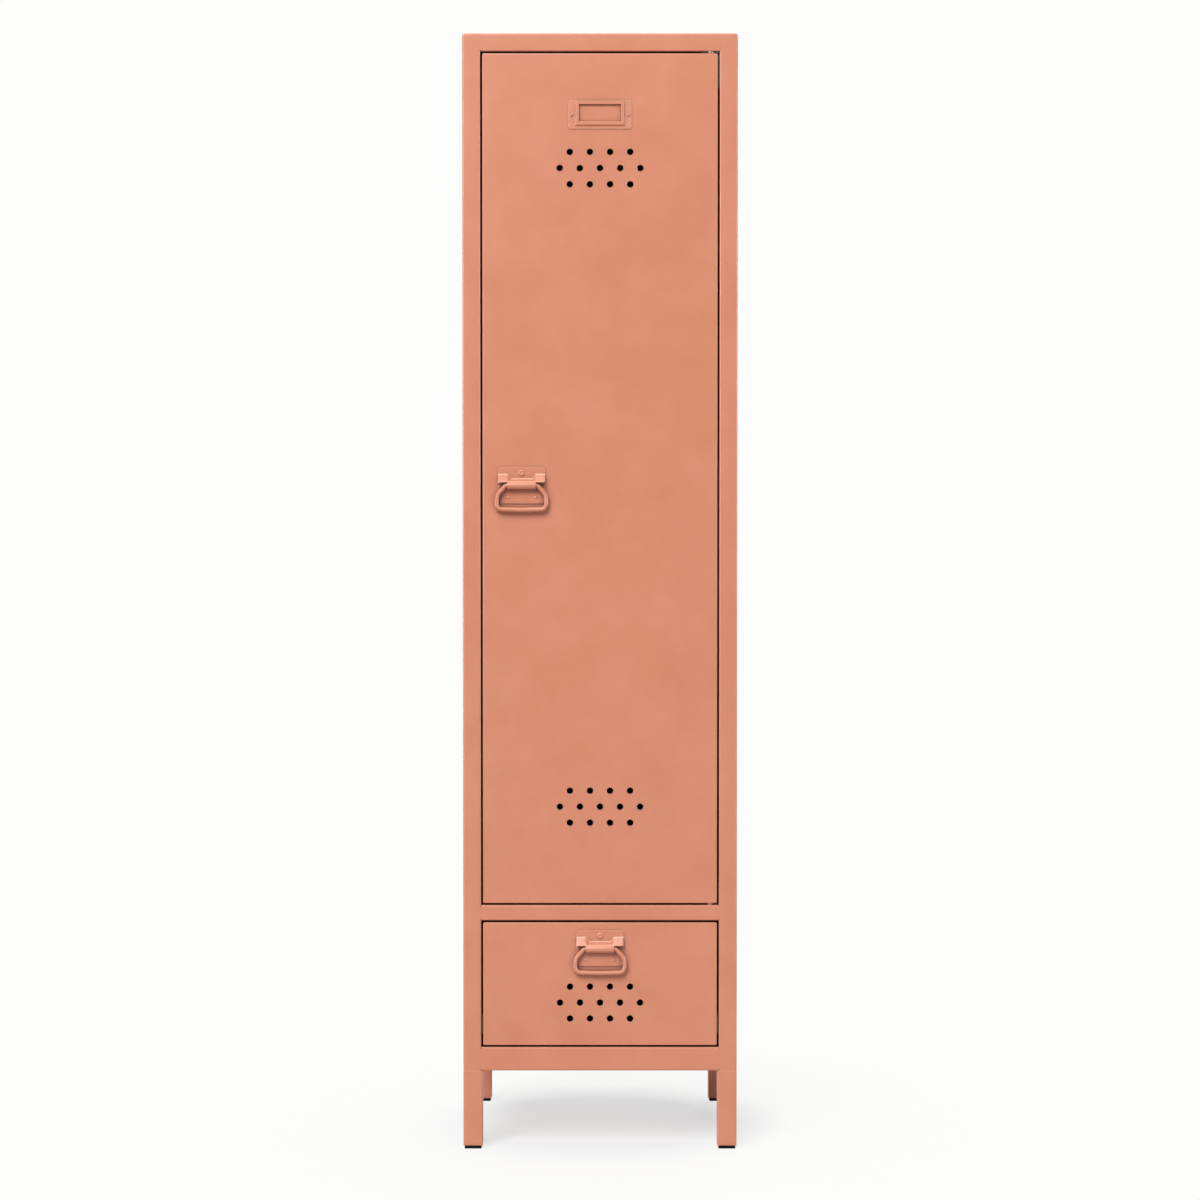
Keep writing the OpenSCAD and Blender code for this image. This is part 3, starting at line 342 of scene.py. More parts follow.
def zinc_plate():
    """Zinc plated steel with a clear passivate: a soft bluish grey metal with a faint spangle."""
    made, tree, space = new_material("Zinc plated steel, clear passivated")
    zinc = finish().zinc
    dark = (*(0.8 * c for c in zinc[:3]), 1.0)
    flowers = add_node(tree, "ShaderNodeTexVoronoi", {"Vector": space, "Scale": 1 / (2.5 * MM)})
    grain = noise(tree, space, 6 * MM, detail=4.0)
    surface(
        tree,
        ramp(tree, grain, (0.25, dark), (0.75, zinc)),
        spread(tree, flowers.outputs["Distance"], 0.28, 0.42, 0.0, 0.6),
        Metallic=1.0,
        Normal=bump(tree, grain, 0.01 * MM),
    )
    return made


def chrome_plate():
    """Chrome plated steel tube, polished: a mirror with fine lines round the tube from the buff."""
    return mottled(
        "Chrome plated steel tube, polished",
        {"width": 4 * MM, "detail": 3.0, "stretch": (18.0, 1.0, 1.0)},
        ((0.0, linear("C9CBCD")), (1.0, finish().chrome)),
        (0.08, 0.16),
        Metallic=1.0,
    )


def natural_nylon():
    """Nylon 6, moulded in its natural colour: ivory, slightly waxy and translucent."""
    return mottled(
        "Nylon 6, natural, moulded",
        {"width": 9 * MM, "detail": 3.0},
        ((0.25, linear("DED7C6")), (0.7, finish().nylon)),
        (0.36, 0.46),
        depth=0.008 * MM,
        grain=1.2 * MM,
        IOR=1.53,
        Subsurface_Weight=0.15,
        Subsurface_Radius=(0.9, 0.8, 0.6),
        Subsurface_Scale=1.5 * MM,
    )


def coloured_nylon():
    """Nylon 6, moulded in the colour of the paint: a little darker and waxier than the coat."""
    return mottled(
        "Nylon 6, clay, moulded",
        {"width": 5 * MM, "detail": 3.0},
        ((0.25, linear("BE6E4D")), (0.7, linear("C97A58"))),
        (0.36, 0.46),
        depth=0.008 * MM,
        grain=1.2 * MM,
        IOR=1.53,
    )


def runner_enamel():
    """Cream epoxy enamel on rolled steel runners: thin and smooth, half gloss."""
    return mottled(
        "Epoxy enamel, cream, half gloss",
        {"width": 14 * MM, "detail": 3.0, "stretch": (1.0, 0.25, 1.0)},
        ((0.2, linear("D6D1C2")), (0.7, finish().enamel)),
        (0.26, 0.36),
        depth=0.01 * MM,
        grain=3 * MM,
        IOR=1.5,
    )


def moulded_feet():
    """Black polyethylene, moulded with a fine spark texture that scatters its gloss."""
    return mottled(
        "Polyethylene, black, moulded",
        {"width": 7 * MM, "detail": 4.0, "roughness": 0.7},
        ((0.35, finish().rubber), (0.9, linear("0E0F10"))),
        (0.62, 0.78),
        depth=0.03 * MM,
        grain=0.9 * MM,
        IOR=1.51,
        Specular_IOR_Level=0.12,
    )


def sintered_ferrite():
    """Ferrite, sintered and ground: a dark grey ceramic with fine pits."""
    return mottled(
        "Ferrite, sintered and ground",
        {"width": 0.8 * MM, "detail": 4.0, "roughness": 0.7},
        ((0.3, linear("1D1C1C")), (0.7, finish().ferrite)),
        (0.55, 0.8),
        depth=0.03 * MM,
    )


FINISHES = {
    "paint": powder_coat,
    "rounded_paint": pressed_coat,
    "zinc": zinc_plate,
    "rail_steel": chrome_plate,
    "nylon": natural_nylon,
    "clay_nylon": coloured_nylon,
    "runner_enamel": runner_enamel,
    "foot_plastic": moulded_feet,
    "magnet": sintered_ferrite,
}
ROUNDED = {f"{kind}_{part}" for kind in KINDS for part in HANDLE_PARTS}
ROUNDED |= {*LEGS, "label_holder", "label_rivets", "door_skin", "drawer_front"}
made_finishes = {}


def finish_of(node):
    """The material of the pieces that ride with a CAD node, made once."""
    kind = "rounded_paint" if node in ROUNDED else SLOT_OF[node]
    if kind not in made_finishes:
        made_finishes[kind] = FINISHES[kind]()
    return made_finishes[kind]


def added(name, data):
    """An object with this data, in the scene."""
    made = bpy.data.objects.new(name, data)
    bpy.context.scene.collection.objects.link(made)
    return made


def add_on(mesh, name, node):
    """Makes a piece of a mesh, which rides with a CAD node and has its finish."""
    made = added(name, mesh)
    mesh.materials.clear()
    mesh.materials.append(finish_of(node))
    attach(made, BODY_OF[node])
    return made


def place(mesh, name, node):
    """Makes a piece of a mesh, which rides where a CAD node does and stands for it."""
    made = add_on(mesh, name, node)
    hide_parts(node)
    return made


def soften(piece, width, segments=2):
    """Rounds a piece's sharp edges, as paint, dies or moulds leave them."""
    bevel = piece.modifiers.new("Softened edges", "BEVEL")
    bevel.width = width
    bevel.segments = segments
    bevel.limit_method = "ANGLE"
    bevel.angle_limit = SMOOTH
    bevel.use_clamp_overlap = True
    bevel.harden_normals = True


def smooth(mesh):
    """Smooth shading that keeps the edges sharp where the mesh turns a corner."""
    mesh.shade_smooth()
    mesh.set_sharp_from_angle(angle=SMOOTH)
    return mesh


def mesh_from(name, work):
    """The mesh of a bmesh, shaded from its own form alone."""
    mesh = bpy.data.meshes.new(name)
    work.to_mesh(mesh)
    work.free()
    if "custom_normal" in mesh.attributes:
        mesh.attributes.remove(mesh.attributes["custom_normal"])
    return smooth(mesh)


def node_form(node):
    """A bmesh of a CAD node, its loose triangles joined."""
    work = bmesh.new()
    work.from_mesh(NODES[node].data)
    bmesh.ops.remove_doubles(work, verts=work.verts, dist=MERGE)
    return work


def joined_copy(node):
    """A mesh copied from a CAD node, its loose triangles joined and its flat faces made whole."""
    work = node_form(node)
    bmesh.ops.dissolve_limit(work, angle_limit=FLAT, verts=work.verts, edges=work.edges)
    return mesh_from(node, work)


def dress(node, edge=0.0, name="", segments=2):
    """A finished piece in the form of its CAD node, with softened edges."""
    soften(place(joined_copy(node), name or f"{node}_dressed", node), edge or sizes().edge, segments)


def dress_all(*nodes, edge=0.0):
    for node in nodes:
        dress(node, edge)


def mesh_of(name, points, faces):
    """A mesh with its normals pointing out of its closed surface."""
    work = bmesh.new()
    corners = [work.verts.new(point) for point in points]
    for face in faces:
        work.faces.new([corners[i] for i in face])
    bmesh.ops.remove_doubles(work, verts=work.verts, dist=MERGE)
    bmesh.ops.recalc_face_normals(work, faces=work.faces)
    return mesh_from(name, work)


def tube_of(name, rings, closed):
    """A mesh through rings of as many points each, closed into a loop or capped at its ends."""
    count = len(rings[0])
    points = [point for ring in rings for point in ring]
    faces = []
    for i in range(len(rings) if closed else len(rings) - 1):
        start, after = i * count, (i + 1) % len(rings) * count
        for j in range(count):
            k = (j + 1) % count
            faces.append((start + j, start + k, after + k, after + j))
    if not closed:
        faces.append(tuple(range(count)))
        faces.append(tuple(range(len(points) - count, len(points))))
    return mesh_of(name, points, faces)


def join_meshes(name, *meshes):
    """One mesh of several, with smooth shading kept."""
    work = bmesh.new()
    for mesh in meshes:
        work.from_mesh(mesh)
        bpy.data.meshes.remove(mesh)
    return mesh_from(name, work)


def ring_of(centre, side, other, radius, count):
    """Points on a circle round a centre, in the plane of two unit directions."""
    out = []
    for j in range(count):
        angle = math.tau * j / count
        out.append(centre + (side * math.cos(angle) + other * math.sin(angle)) * radius)
    return out


def arc(centre, radius, start, end, steps=6):
    """Points in a plane on an arc between two angles in degrees, both ends included."""
    out = []
    for i in range(steps + 1):
        angle = math.radians(start + (end - start) * i / steps)
        out.append(Vector((centre[0] + radius * math.cos(angle), centre[1] + radius * math.sin(angle))))
    return out


def rounded_line(corners):
    """A closed line through corners (x, y, radius), with an arc of its own radius at each."""
    out = []
    points = [Vector((x, y)) for x, y, radius in corners]
    for i, (x, y, radius) in enumerate(corners):
        into = (points[i] - points[i - 1]).normalized()
        away = (points[(i + 1) % len(points)] - points[i]).normalized()
        turn = into.angle_signed(away)
        start = points[i] - into * (radius * math.tan(abs(turn) / 2))
        side = Vector((-into.y, into.x)) * (-1 if turn > 0 else 1)
        centre = start + side * radius
        steps = max(2, math.ceil(abs(turn) / ARC_STEP))
        first = math.atan2(start.y - centre.y, start.x - centre.x)
        for k in range(steps + 1):
            angle = first - turn * k / steps
            out.append(centre + radius * Vector((math.cos(angle), math.sin(angle))))
    return out


def bail_mesh(axis):
    """The bail: round wire through the knuckle, down two flared sides and along a bowed grip."""
    size = sizes()
    side = size.bail_width / 2 - size.wire / 2
    low = -size.bail_drop + size.bail_bow
    slope = math.atan2(size.bail_bow, side)
    bow = (side - size.bail_corner - MM) / math.tan(slope)
    # Corners of the wire's middle line on the right, from the knuckle down, and their bend radii
    right = [
        (size.knuckle_width / 2 + 2 * MM, 0, 5 * MM),
        (side - 2.1 * MM, -12 * MM, 16 * MM),
        (side, -19 * MM, 20 * MM),
        (side, low, size.bail_corner),
    ]
    left = [(-x, z, radius) for x, z, radius in reversed(right)]
    line = rounded_line([*right, (0, -size.bail_drop, bow), *left])
    rings = []
    for i, point in enumerate(line):
        ahead = (line[(i + 1) % len(line)] - line[i - 1]).normalized()
        across = Vector((-ahead.y, 0, ahead.x))
        centre = axis + Vector((point.x, 0, point.y))
        rings.append(ring_of(centre, across, Vector((0, 1, 0)), size.wire / 2, count=24))
    return tube_of("bail", rings, closed=True)


def knuckle_mesh(axis):
    """The rolled knuckle: a tube round the bail, its ends rounded over."""
    size = sizes()
    outer = axis.y - KNUCKLE_FRONT
    inner = size.wire / 2 + 0.05 * MM
    half = size.knuckle_width / 2
    edge = size.knuckle_round
    # Half of the tube's section, as places along it and distances from its middle
    section = [
        (-half, inner),
        *arc((-half + edge, outer - edge), edge, 180, 90),
        *arc((half - edge, outer - edge), edge, 90, 0),
        (half, inner),
    ]
    along = Vector((1, 0, 0))
    side = along.orthogonal().normalized()
    other = along.cross(side)
    rings = [ring_of(axis + along * step, side, other, radius, count=64) for step, radius in section]
    return tube_of("knuckle", rings, closed=True)


def hood_section(top, tip, sheet, bend):
    """Section of the hood's sheet as (depth, height) points: along its outside, then back inside.

    It hangs from the plate's face at height top, turns through a bend, and runs to its tip.
    """
    plate = Vector((-sheet, top))
    ahead = (tip - plate).normalized()
    down = Vector((0, -1))
    half = down.angle(ahead) / 2
    start = plate - down * (bend * math.tan(half))
    outside = arc(start + Vector((-bend, 0)), bend, 0, -math.degrees(2 * half))
    normal = Vector((ahead.y, -ahead.x))
    inner = (-normal if normal.x < 0 else normal) * sheet
    stops = (0.33, 0.66, 0.93)
    blunt = 0.12
    run = [outside[-1].lerp(tip, share) for share in stops]
    nose = [tip + inner * blunt, tip + inner * 0.5 + ahead * sheet * blunt, tip + inner * (1 - blunt)]
    back = [(outside[-1] + inner).lerp(tip + inner, share) for share in (*reversed(stops), 0.0)]
    root = -0.05 * MM
    return outside + run + nose + back + [Vector((root, back[-1].y + 0.6 * MM)), Vector((root, start.y))]


def hood_mesh(axis):
    """The pressed hood: a low brow over the knuckle that climbs to an ear at each end."""
    size = sizes()
    sheet = size.press
    half = (PLATE_HI.x - PLATE_LO.x) / 2
    to_axis = Vector((axis.y - FRONT + sheet, -size.brow_top))
    sunk = axis.y - KNUCKLE_FRONT - 0.15 * MM
    turn = math.atan2(to_axis.y, to_axis.x) - math.asin(sunk / to_axis.length)
    reach = math.sqrt(to_axis.length_squared - sunk * sunk)
    low_tip = Vector((-sheet, size.brow_top)) + reach * Vector((math.cos(turn), math.sin(turn)))
    high_tip = Vector((-size.ear_reach, size.ear_tip))
    # Sections from the left end to the middle: rounded corner, ear, slope and brow
    corner = 0.9 * MM
    slope = size.ear_in - size.brow_half
    stations = [-half, -half + 0.25 * MM, -half + corner]
    stations += [-half + corner + (half - corner - size.ear_in) * i / 4 for i in range(1, 4)]
    stations += [-size.ear_in + slope * i / 14 for i in range(15)]
    stations += [-size.brow_half * (1 - i / 4) for i in range(1, 4)]
    rings = []
    for x in (*stations, 0.0, *(-x for x in reversed(stations))):
        share = min(1.0, max(0.0, (abs(x) - size.brow_half) / slope))
        share = share * share * (3 - 2 * share)
        top = size.brow_top + (size.ear_top - size.brow_top) * share
        tip = low_tip.lerp(high_tip, share)
        # The ear's outer edge is rounded by the die
        near = min(1.0, (half - abs(x)) / corner)
        drop = (1 - math.sqrt(max(0.0, 1 - (1 - near) ** 2))) * 0.5 * MM
        section = hood_section(top - drop * 0.6, tip + Vector((drop, 0)), sheet, size.press_bend)
        rings.append([Vector((axis.x + x, FRONT + p.x, axis.z + p.y)) for p in section])
    return tube_of("hood", rings, closed=False)


def walks(work, starts, crosses):
    """Groups of places in a bmesh, each reached from its first over the edges that it crosses."""
    groups = []
    for first in work.verts:
        if first.tag or not starts(first):
            continue
        first.tag = True
        found = [first]
        for vert in found:
            for edge in filter(crosses, vert.link_edges):
                other = edge.other_vert(vert)
                if not other.tag:
                    other.tag = True
                    found.append(other)
        groups.append([vert.co.copy() for vert in found])
    work.free()
    return groups


def islands(node):
    """The separate solids of a CAD node, each as a list of its corners."""
    return walks(node_form(node), lambda vert: True, lambda edge: True)


def box_of(corners):
    """The lowest and the highest corner of a box round some points."""
    return [Vector([limit(corner[i] for corner in corners) for i in range(3)]) for limit in (min, max)]


def fasteners(node):
    """Each round fastener of a CAD node: its head's seat and way, and its sizes."""
    out = []
    for corners in islands(node):
        low, high = box_of(corners)
        size = high - low
        middle = (low + high) / 2
        axis = min(range(3), key=lambda i: abs(size[(i + 1) % 3] - size[(i + 2) % 3]))
        radii = [Vector([v for k, v in enumerate(c - middle) if k != axis]).length for c in corners]
        wide = [c[axis] for c, radius in zip(corners, radii) if radius > 0.9 * max(radii)]
        up = sum(wide) / len(wide) > middle[axis]
        seat = middle.copy()
        seat[axis] = min(wide) if up else max(wide)
        way = Vector((0, 0, 0))
        way[axis] = 1 if up else -1
        above, below = high[axis] - seat[axis], seat[axis] - low[axis]
        head, shank = (above, below) if up else (below, above)
        out.append(((seat, way), {"Width": 2 * max(radii), "Height": head, "Length": shank}))
    return out


def holes(node, depth, narrowest, widest):
    """The middles and widths of the round holes in a CAD node's face at this depth."""
    def on_face(vert):
        return abs(vert.co.y - depth) <= MERGE

    def bounds_face(edge):
        ways = [face.normal.y for face in edge.link_faces]
        return all(map(on_face, edge.verts)) and len(ways) == 2 and abs(ways[0] - ways[1]) > 0.9

    found = []
    for loop in walks(node_form(node), on_face, bounds_face):
        low, high = box_of(loop)
        width = high.x - low.x
        if narrowest < width < widest and abs(width - (high.z - low.z)) < 0.2 * MM:
            found.append((Vector(((high.x + low.x) / 2, depth, (high.z + low.z) / 2)), width))
    return found


def new_tree(name, **inputs):
    """A Geometry Nodes tree that takes geometry, a finish and named values with their defaults."""
    tree = bpy.data.node_groups.new(name, "GeometryNodeTree")
    kinds = {"Geometry": "NodeSocketGeometry", "Finish": "NodeSocketMaterial", "Marks": "NodeSocketObject"}
    for key, value in {"Geometry": None, "Finish": None, **spaced(inputs)}.items():
        kind = kinds.get(key, "NodeSocketFloat")
        socket = tree.interface.new_socket(key, in_out="INPUT", socket_type=kind)
        if key not in kinds:
            socket.default_value = value
    tree.interface.new_socket("Geometry", in_out="OUTPUT", socket_type=kinds["Geometry"])
    return tree, add_node(tree, "NodeGroupInput").outputs


def geo(tree, kind, **inputs):
    """The first output of a geometry node with these inputs."""
    return add_node(tree, f"GeometryNode{kind}", spaced(inputs)).outputs[0]


def end_tree(tree, geometry, finish):
    """Ends a tree in real geometry that has its finish."""
    real = geo(tree, "RealizeInstances", Geometry=geometry)
    add_node(tree, "NodeGroupOutput", {0: geo(tree, "SetMaterial", Geometry=real, Material=finish)})
    return tree


def times(tree, value, factor):
    return calc(tree, "MULTIPLY", value, factor)


def vector(tree, x, y, z):
    return add_node(tree, "ShaderNodeCombineXYZ", {0: x, 1: y, 2: z}).outputs[0]


def raised(tree, geometry, height):
    """A geometry moved along its own Z."""
    return geo(tree, "Transform", Geometry=geometry, Translation=vector(tree, 0.0, 0.0, height))


def cylinder(tree, width, height, around=32, rings=1):
    """A cylinder on the origin that stands along Z, and a selection of its top."""
    inputs = {"Vertices": around, "Fill Segments": rings, "Radius": times(tree, width, 0.5), "Depth": height}
    made = add_node(tree, "GeometryNodeMeshCylinder", inputs, fill_type="TRIANGLE_FAN")
    return raised(tree, made.outputs["Mesh"], times(tree, height, 0.5)), made.outputs["Top"]


def domed(tree, width, height, rim_share, dimple, depth):
    """A round head on the origin: a straight rim, a dome over it, and a dimple in its middle."""
    rim = times(tree, height, rim_share)
    puck, top = cylinder(tree, width, rim, rings=12)
    apart = add_node(tree, "ShaderNodeSeparateXYZ", {0: geo(tree, "InputPosition")}).outputs
    squares = [calc(tree, "POWER", apart[i], 2.0) for i in (0, 1)]
    out = calc(tree, "SQRT", calc(tree, "ADD", *squares))
    rises = []
    for reach, rise in ((width, calc(tree, "SUBTRACT", height, rim)), (dimple, depth)):
        share = calc(tree, "DIVIDE", times(tree, out, 2.0), reach)
        left = calc(tree, "MAXIMUM", calc(tree, "SUBTRACT", 1.0, calc(tree, "POWER", share, 2.0)), 0.0)
        rises.append(times(tree, left, rise))
    lift = vector(tree, 0.0, 0.0, calc(tree, "SUBTRACT", *rises))
    return geo(tree, "SetPosition", Geometry=puck, Selection=top, Offset=lift)


def cut(tree, solid, *tools):
    """A solid less its tools."""
    settings = {"operation": "DIFFERENCE", "solver": "EXACT"}
    made = add_node(tree, "GeometryNodeMeshBoolean", {"Mesh 1": solid}, **settings)
    for tool in tools:
        tree.links.new(tool, made.inputs["Mesh 2"])
    return made.outputs["Mesh"]


def turned_to(tree, points, part, way, **settings):
    """A part repeated at points, one of its axes turned the way that each point has."""
    turn = add_node(tree, "FunctionNodeAlignRotationToVector", {"Vector": way}, **settings).outputs[0]
    return geo(tree, "InstanceOnPoints", Points=points, Instance=part, Rotation=turn)


def on_spots(tree, spots, part):
    """A part repeated at each point of the spots, its Z turned the way that the spot faces."""
    inputs = {"Name": "facing"}
    way = add_node(tree, "GeometryNodeInputNamedAttribute", inputs, data_type="FLOAT_VECTOR")
    return turned_to(tree, spots, part, way.outputs["Attribute"], axis="Z")


def end_on_spots(tree, given, part):
    """Ends a tree in a part at each of the spots that are its geometry."""
    return end_tree(tree, on_spots(tree, given["Geometry"], part), given["Finish"])


def end_with_shanks(tree, given, head):
    """Ends a tree in fasteners at the spots: a head with a shank below it."""
    shank, top = cylinder(tree, given["Shank"], given["Length"])
    both = add_node(tree, "GeometryNodeJoinGeometry")
    for part in (head, raised(tree, shank, times(tree, given["Length"], -1.0))):
        tree.links.new(part, both.inputs[0])
    return end_on_spots(tree, given, both.outputs[0])


def rivet_tree():
    """Domed rivet heads, with a dimple of the setting tool where that has a depth."""
    tree, given = new_tree("Rivet heads", Width=5 * MM, Height=1.2 * MM, Dimple=2 * MM, Dimple_depth=0.0)
    head = domed(tree, given["Width"], given["Height"], 0.22, given["Dimple"], given["Dimple depth"])
    return end_on_spots(tree, given, head)


def screw_tree():
    """Pan head screws with a cross recess."""
    shank = {"Shank": 3.6 * MM, "Length": 6 * MM}
    cross = {"Cross": 3.6 * MM, "Arm": 0.9 * MM}
    tree, given = new_tree("Pan head screws", Width=7 * MM, Height=2 * MM, **shank, **cross)
    head = domed(tree, given["Width"], given["Height"], 0.5, given["Cross"], 0.0)
    depth = times(tree, given["Height"], 1.2)
    sides = ("Cross", "Arm")
    arms = []
    for first, second in (sides, sides[::-1]):
        arm = geo(tree, "MeshCube", Size=vector(tree, given[first], given[second], depth))
        arms.append(raised(tree, arm, given["Height"]))
    return end_with_shanks(tree, given, cut(tree, head, *arms))


def bolt_tree():
    """Cheese head bolts with a hexagon socket."""
    values = {"Width": 12.8 * MM, "Height": 4.8 * MM, "Shank": 8 * MM, "Length": 12 * MM, "Socket": 6 * MM}
    tree, given = new_tree("Socket bolts", **values)
    head, top = cylinder(tree, given["Width"], given["Height"], around=48, rings=2)
    over_corners = calc(tree, "DIVIDE", given["Socket"], math.cos(math.pi / 6))
    socket, top = cylinder(tree, over_corners, given["Height"], around=6)
    socket = raised(tree, socket, times(tree, given["Height"], 0.4))
    return end_with_shanks(tree, given, cut(tree, head, socket))


def rib_tree():
    """Six ribs round the hub in a roller's recess."""
    tree, given = new_tree("Roller ribs", Inside=10 * MM, Outside=16 * MM, Height=0.8 * MM, Rib=1.1 * MM)
    reach = times(tree, calc(tree, "SUBTRACT", given["Outside"], given["Inside"]), 0.5)
    middle = times(tree, calc(tree, "ADD", given["Outside"], given["Inside"]), 0.25)
    ring = geo(tree, "MeshCircle", Vertices=6, Radius=middle)
    rib = geo(tree, "MeshCube", Size=vector(tree, reach, given["Rib"], given["Height"]))
    ribs = turned_to(tree, ring, rib, geo(tree, "InputPosition"), axis="X", pivot_axis="Z")
    return end_on_spots(tree, given, raised(tree, ribs, times(tree, given["Height"], 0.5)))


def weld_tree():
    """A sheet with the shallow marks of spot welds cut in at the points of another object.

    The flat foot of the cutting tool is in the sheet, 1.2 widths across and 0.4 depths deep.
    """
    tree, given = new_tree("Spot welds", Marks=None, Width=5.5 * MM, Depth=0.12 * MM)
    marks = add_node(tree, "GeometryNodeObjectInfo", {"Object": given["Marks"]}).outputs["Geometry"]
    height = times(tree, given["Depth"], 1.4)
    tip = domed(tree, times(tree, given["Width"], 1.2), height, 0.02, given["Width"], 0.0)
    tip = raised(tree, tip, times(tree, given["Depth"], -0.4))
    tips = geo(tree, "RealizeInstances", Geometry=on_spots(tree, marks, tip))
    return end_tree(tree, cut(tree, given["Geometry"], tips), given["Finish"])


def rim_tree():
    """Rings that lie half sunk in a sheet, round its holes."""
    tree, given = new_tree("Vent rims", Width=9.4 * MM, Rim=0.7 * MM, Height=0.12 * MM)
    half = times(tree, given["Rim"], 0.5)
    radius = calc(tree, "ADD", times(tree, given["Width"], 0.5), half)
    line = geo(tree, "CurvePrimitiveCircle", Resolution=40, Radius=radius)
    wire = geo(tree, "CurvePrimitiveCircle", Resolution=10, Radius=half)
    ring = geo(tree, "CurveToMesh", Curve=line, Profile_Curve=wire)
    flat = vector(tree, 1.0, 1.0, calc(tree, "DIVIDE", given["Height"], half))
    return end_on_spots(tree, given, geo(tree, "Transform", Geometry=ring, Scale=flat))


TREES = {
    "rims": rim_tree,
    "rivets": rivet_tree,
    "screws": screw_tree,
    "bolts": bolt_tree,
    "ribs": rib_tree,
    "welds": weld_tree,
}
made_trees = {}


def evaluated(kind, mesh, node, values):
    """The plain mesh that a tree makes of a mesh with these values and a CAD node's finish."""
    if kind not in made_trees:
        made_trees[kind] = TREES[kind]()
    tree = made_trees[kind]
    carrier = added(mesh.name, mesh)
    grown = carrier.modifiers.new("Grown", "NODES")
    grown.node_group = tree
    values = {**values, "Finish": finish_of(node)}
    for socket in tree.interface.items_tree:
        if socket.in_out == "INPUT" and socket.name in values:
            grown[socket.identifier] = values[socket.name]
    graph = bpy.context.evaluated_depsgraph_get()
    made = bpy.data.meshes.new_from_object(carrier.evaluated_get(graph))
    bpy.data.objects.remove(carrier)
    bpy.data.meshes.remove(mesh)
    return smooth(made)


def spot_mesh(name, spots):
    """A mesh of loose points, each of which knows the way that it faces."""
    mesh = bpy.data.meshes.new(name)
    mesh.from_pydata([place for place, way in spots], [], [])
    facing = mesh.attributes.new("facing", "FLOAT_VECTOR", "POINT")
    facing.data.foreach_set("vector", [share for place, way in spots for share in way])
    return mesh


def grow(kind, name, node, spots, **values):
    """A mesh of a tree's part at each spot, with a CAD node's finish."""
    return evaluated(kind, spot_mesh(name, spots), node, spaced(values))


def welded(mesh, node, spots):
    """A sheet's mesh with spot welds at the spots."""
    marks = added("weld_marks", spot_mesh("weld_marks", spots))
    values = {"Marks": marks, "Width": sizes().weld, "Depth": sizes().weld_depth}
    made = evaluated("welds", mesh, node, values)
    points = marks.data
    bpy.data.objects.remove(marks)
    bpy.data.meshes.remove(points)
    return made


def crisp_feet():
    """The feet with their lower edges filled out to a small radius, as the load flattens them."""
    mesh = joined_copy("feet")
    rounding = 3 * MM
    keep = sizes().foot_edge / rounding
    reach = rounding + 0.2 * MM
    for corners in islands("feet"):
        edges = low, high = box_of(corners)
        for vert in mesh.vertices:
            inside = all(low[i] - MERGE <= vert.co[i] <= high[i] + MERGE for i in (0, 1))
            if not inside or vert.co.z > FLOOR + reach:
                continue
            for i in (0, 1):
                for edge in edges:
                    if abs(vert.co[i] - edge[i]) < reach:
                        vert.co[i] = edge[i] + (vert.co[i] - edge[i]) * keep
            vert.co.z = FLOOR + (vert.co.z - FLOOR) * keep
    return smooth(mesh)


def welded_side(node):
    """A side panel with the spot welds of its seams: to the back panel, and to each deck."""
    size = sizes()
    pitch = size.weld_pitch
    low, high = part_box(node)
    inset = 7 * MM
    left = low.x + high.x < 0
    wall, seam = (low.x, low.x + inset) if left else (high.x, high.x - inset)
    way = Vector((-1 if left else 1, 0, 0))
    heights = [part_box("top_panel")[1].z - inset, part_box("bottom_panel")[0].z + inset]
    for deck in ("middle_deck", "hat_shelf"):
        deck_low, deck_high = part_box(deck)
        heights.append((deck_low.z + deck_high.z) / 2)
    # From 40 mm behind the front, and from 30 mm over the bottom
    count = int((high.y - low.y - 50 * MM) / pitch)
    rows = int((high.z - low.z - 60 * MM) / pitch)
    spots = [
        (Vector((wall, low.y + 40 * MM + i * pitch, z)), way) for z in heights for i in range(count + 1)
    ]
    for i in range(rows + 1):
        spots.append((Vector((seam, high.y, low.z + 30 * MM + i * pitch)), -OUTWARD))
    soften(place(welded(joined_copy(node), node, spots), f"{node}_welded", node), size.edge)


def roller_ribs(node):
    """Ribs in the recesses at both ends of a roller."""
    low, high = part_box(node)
    middle = (low + high) / 2
    recess = 1.0 * MM
    tread = 2 * MM
    half = (high.x - low.x) / 2 - recess
    spots = [(middle + Vector((side * half, 0, 0)), Vector((side, 0, 0))) for side in (-1, 1)]
    shape = {"Outside": high.z - low.z - 2 * tread, "Height": 0.8 * recess, "Rib": sizes().rib}
    name = f"{node}_ribs"
    add_on(grow("ribs", name, node, spots, **shape), name, node)


def vented_front(node):
    """A folded front with its vents, and the rim round each of them."""
    dress(node, sizes().vent_edge)
    vents = holes(node, FRONT, 6 * MM, 20 * MM)
    spots = [(middle, OUTWARD) for middle, width in vents]
    rims = grow("rims", f"{node}_rims", node, spots, Width=vents[0][1], Rim=sizes().rim)
    add_on(rims, f"{node}_vent_rims", node)


def handle(kind):
    """One handle's plate, hood, knuckle and bail, from its CAD nodes."""
    axis = ANCHORS[f"{kind}_bail_swing"]
    dress(f"{kind}_handle_plate", sizes().press_edge, f"{kind}_plate", segments=3)
    knuckle = join_meshes(f"{kind}_knuckle", hood_mesh(axis), knuckle_mesh(axis))
    place(knuckle, f"{kind}_hood_and_knuckle", f"{kind}_knuckle")
    place(bail_mesh(axis), f"{kind}_bail_wire", f"{kind}_bail")


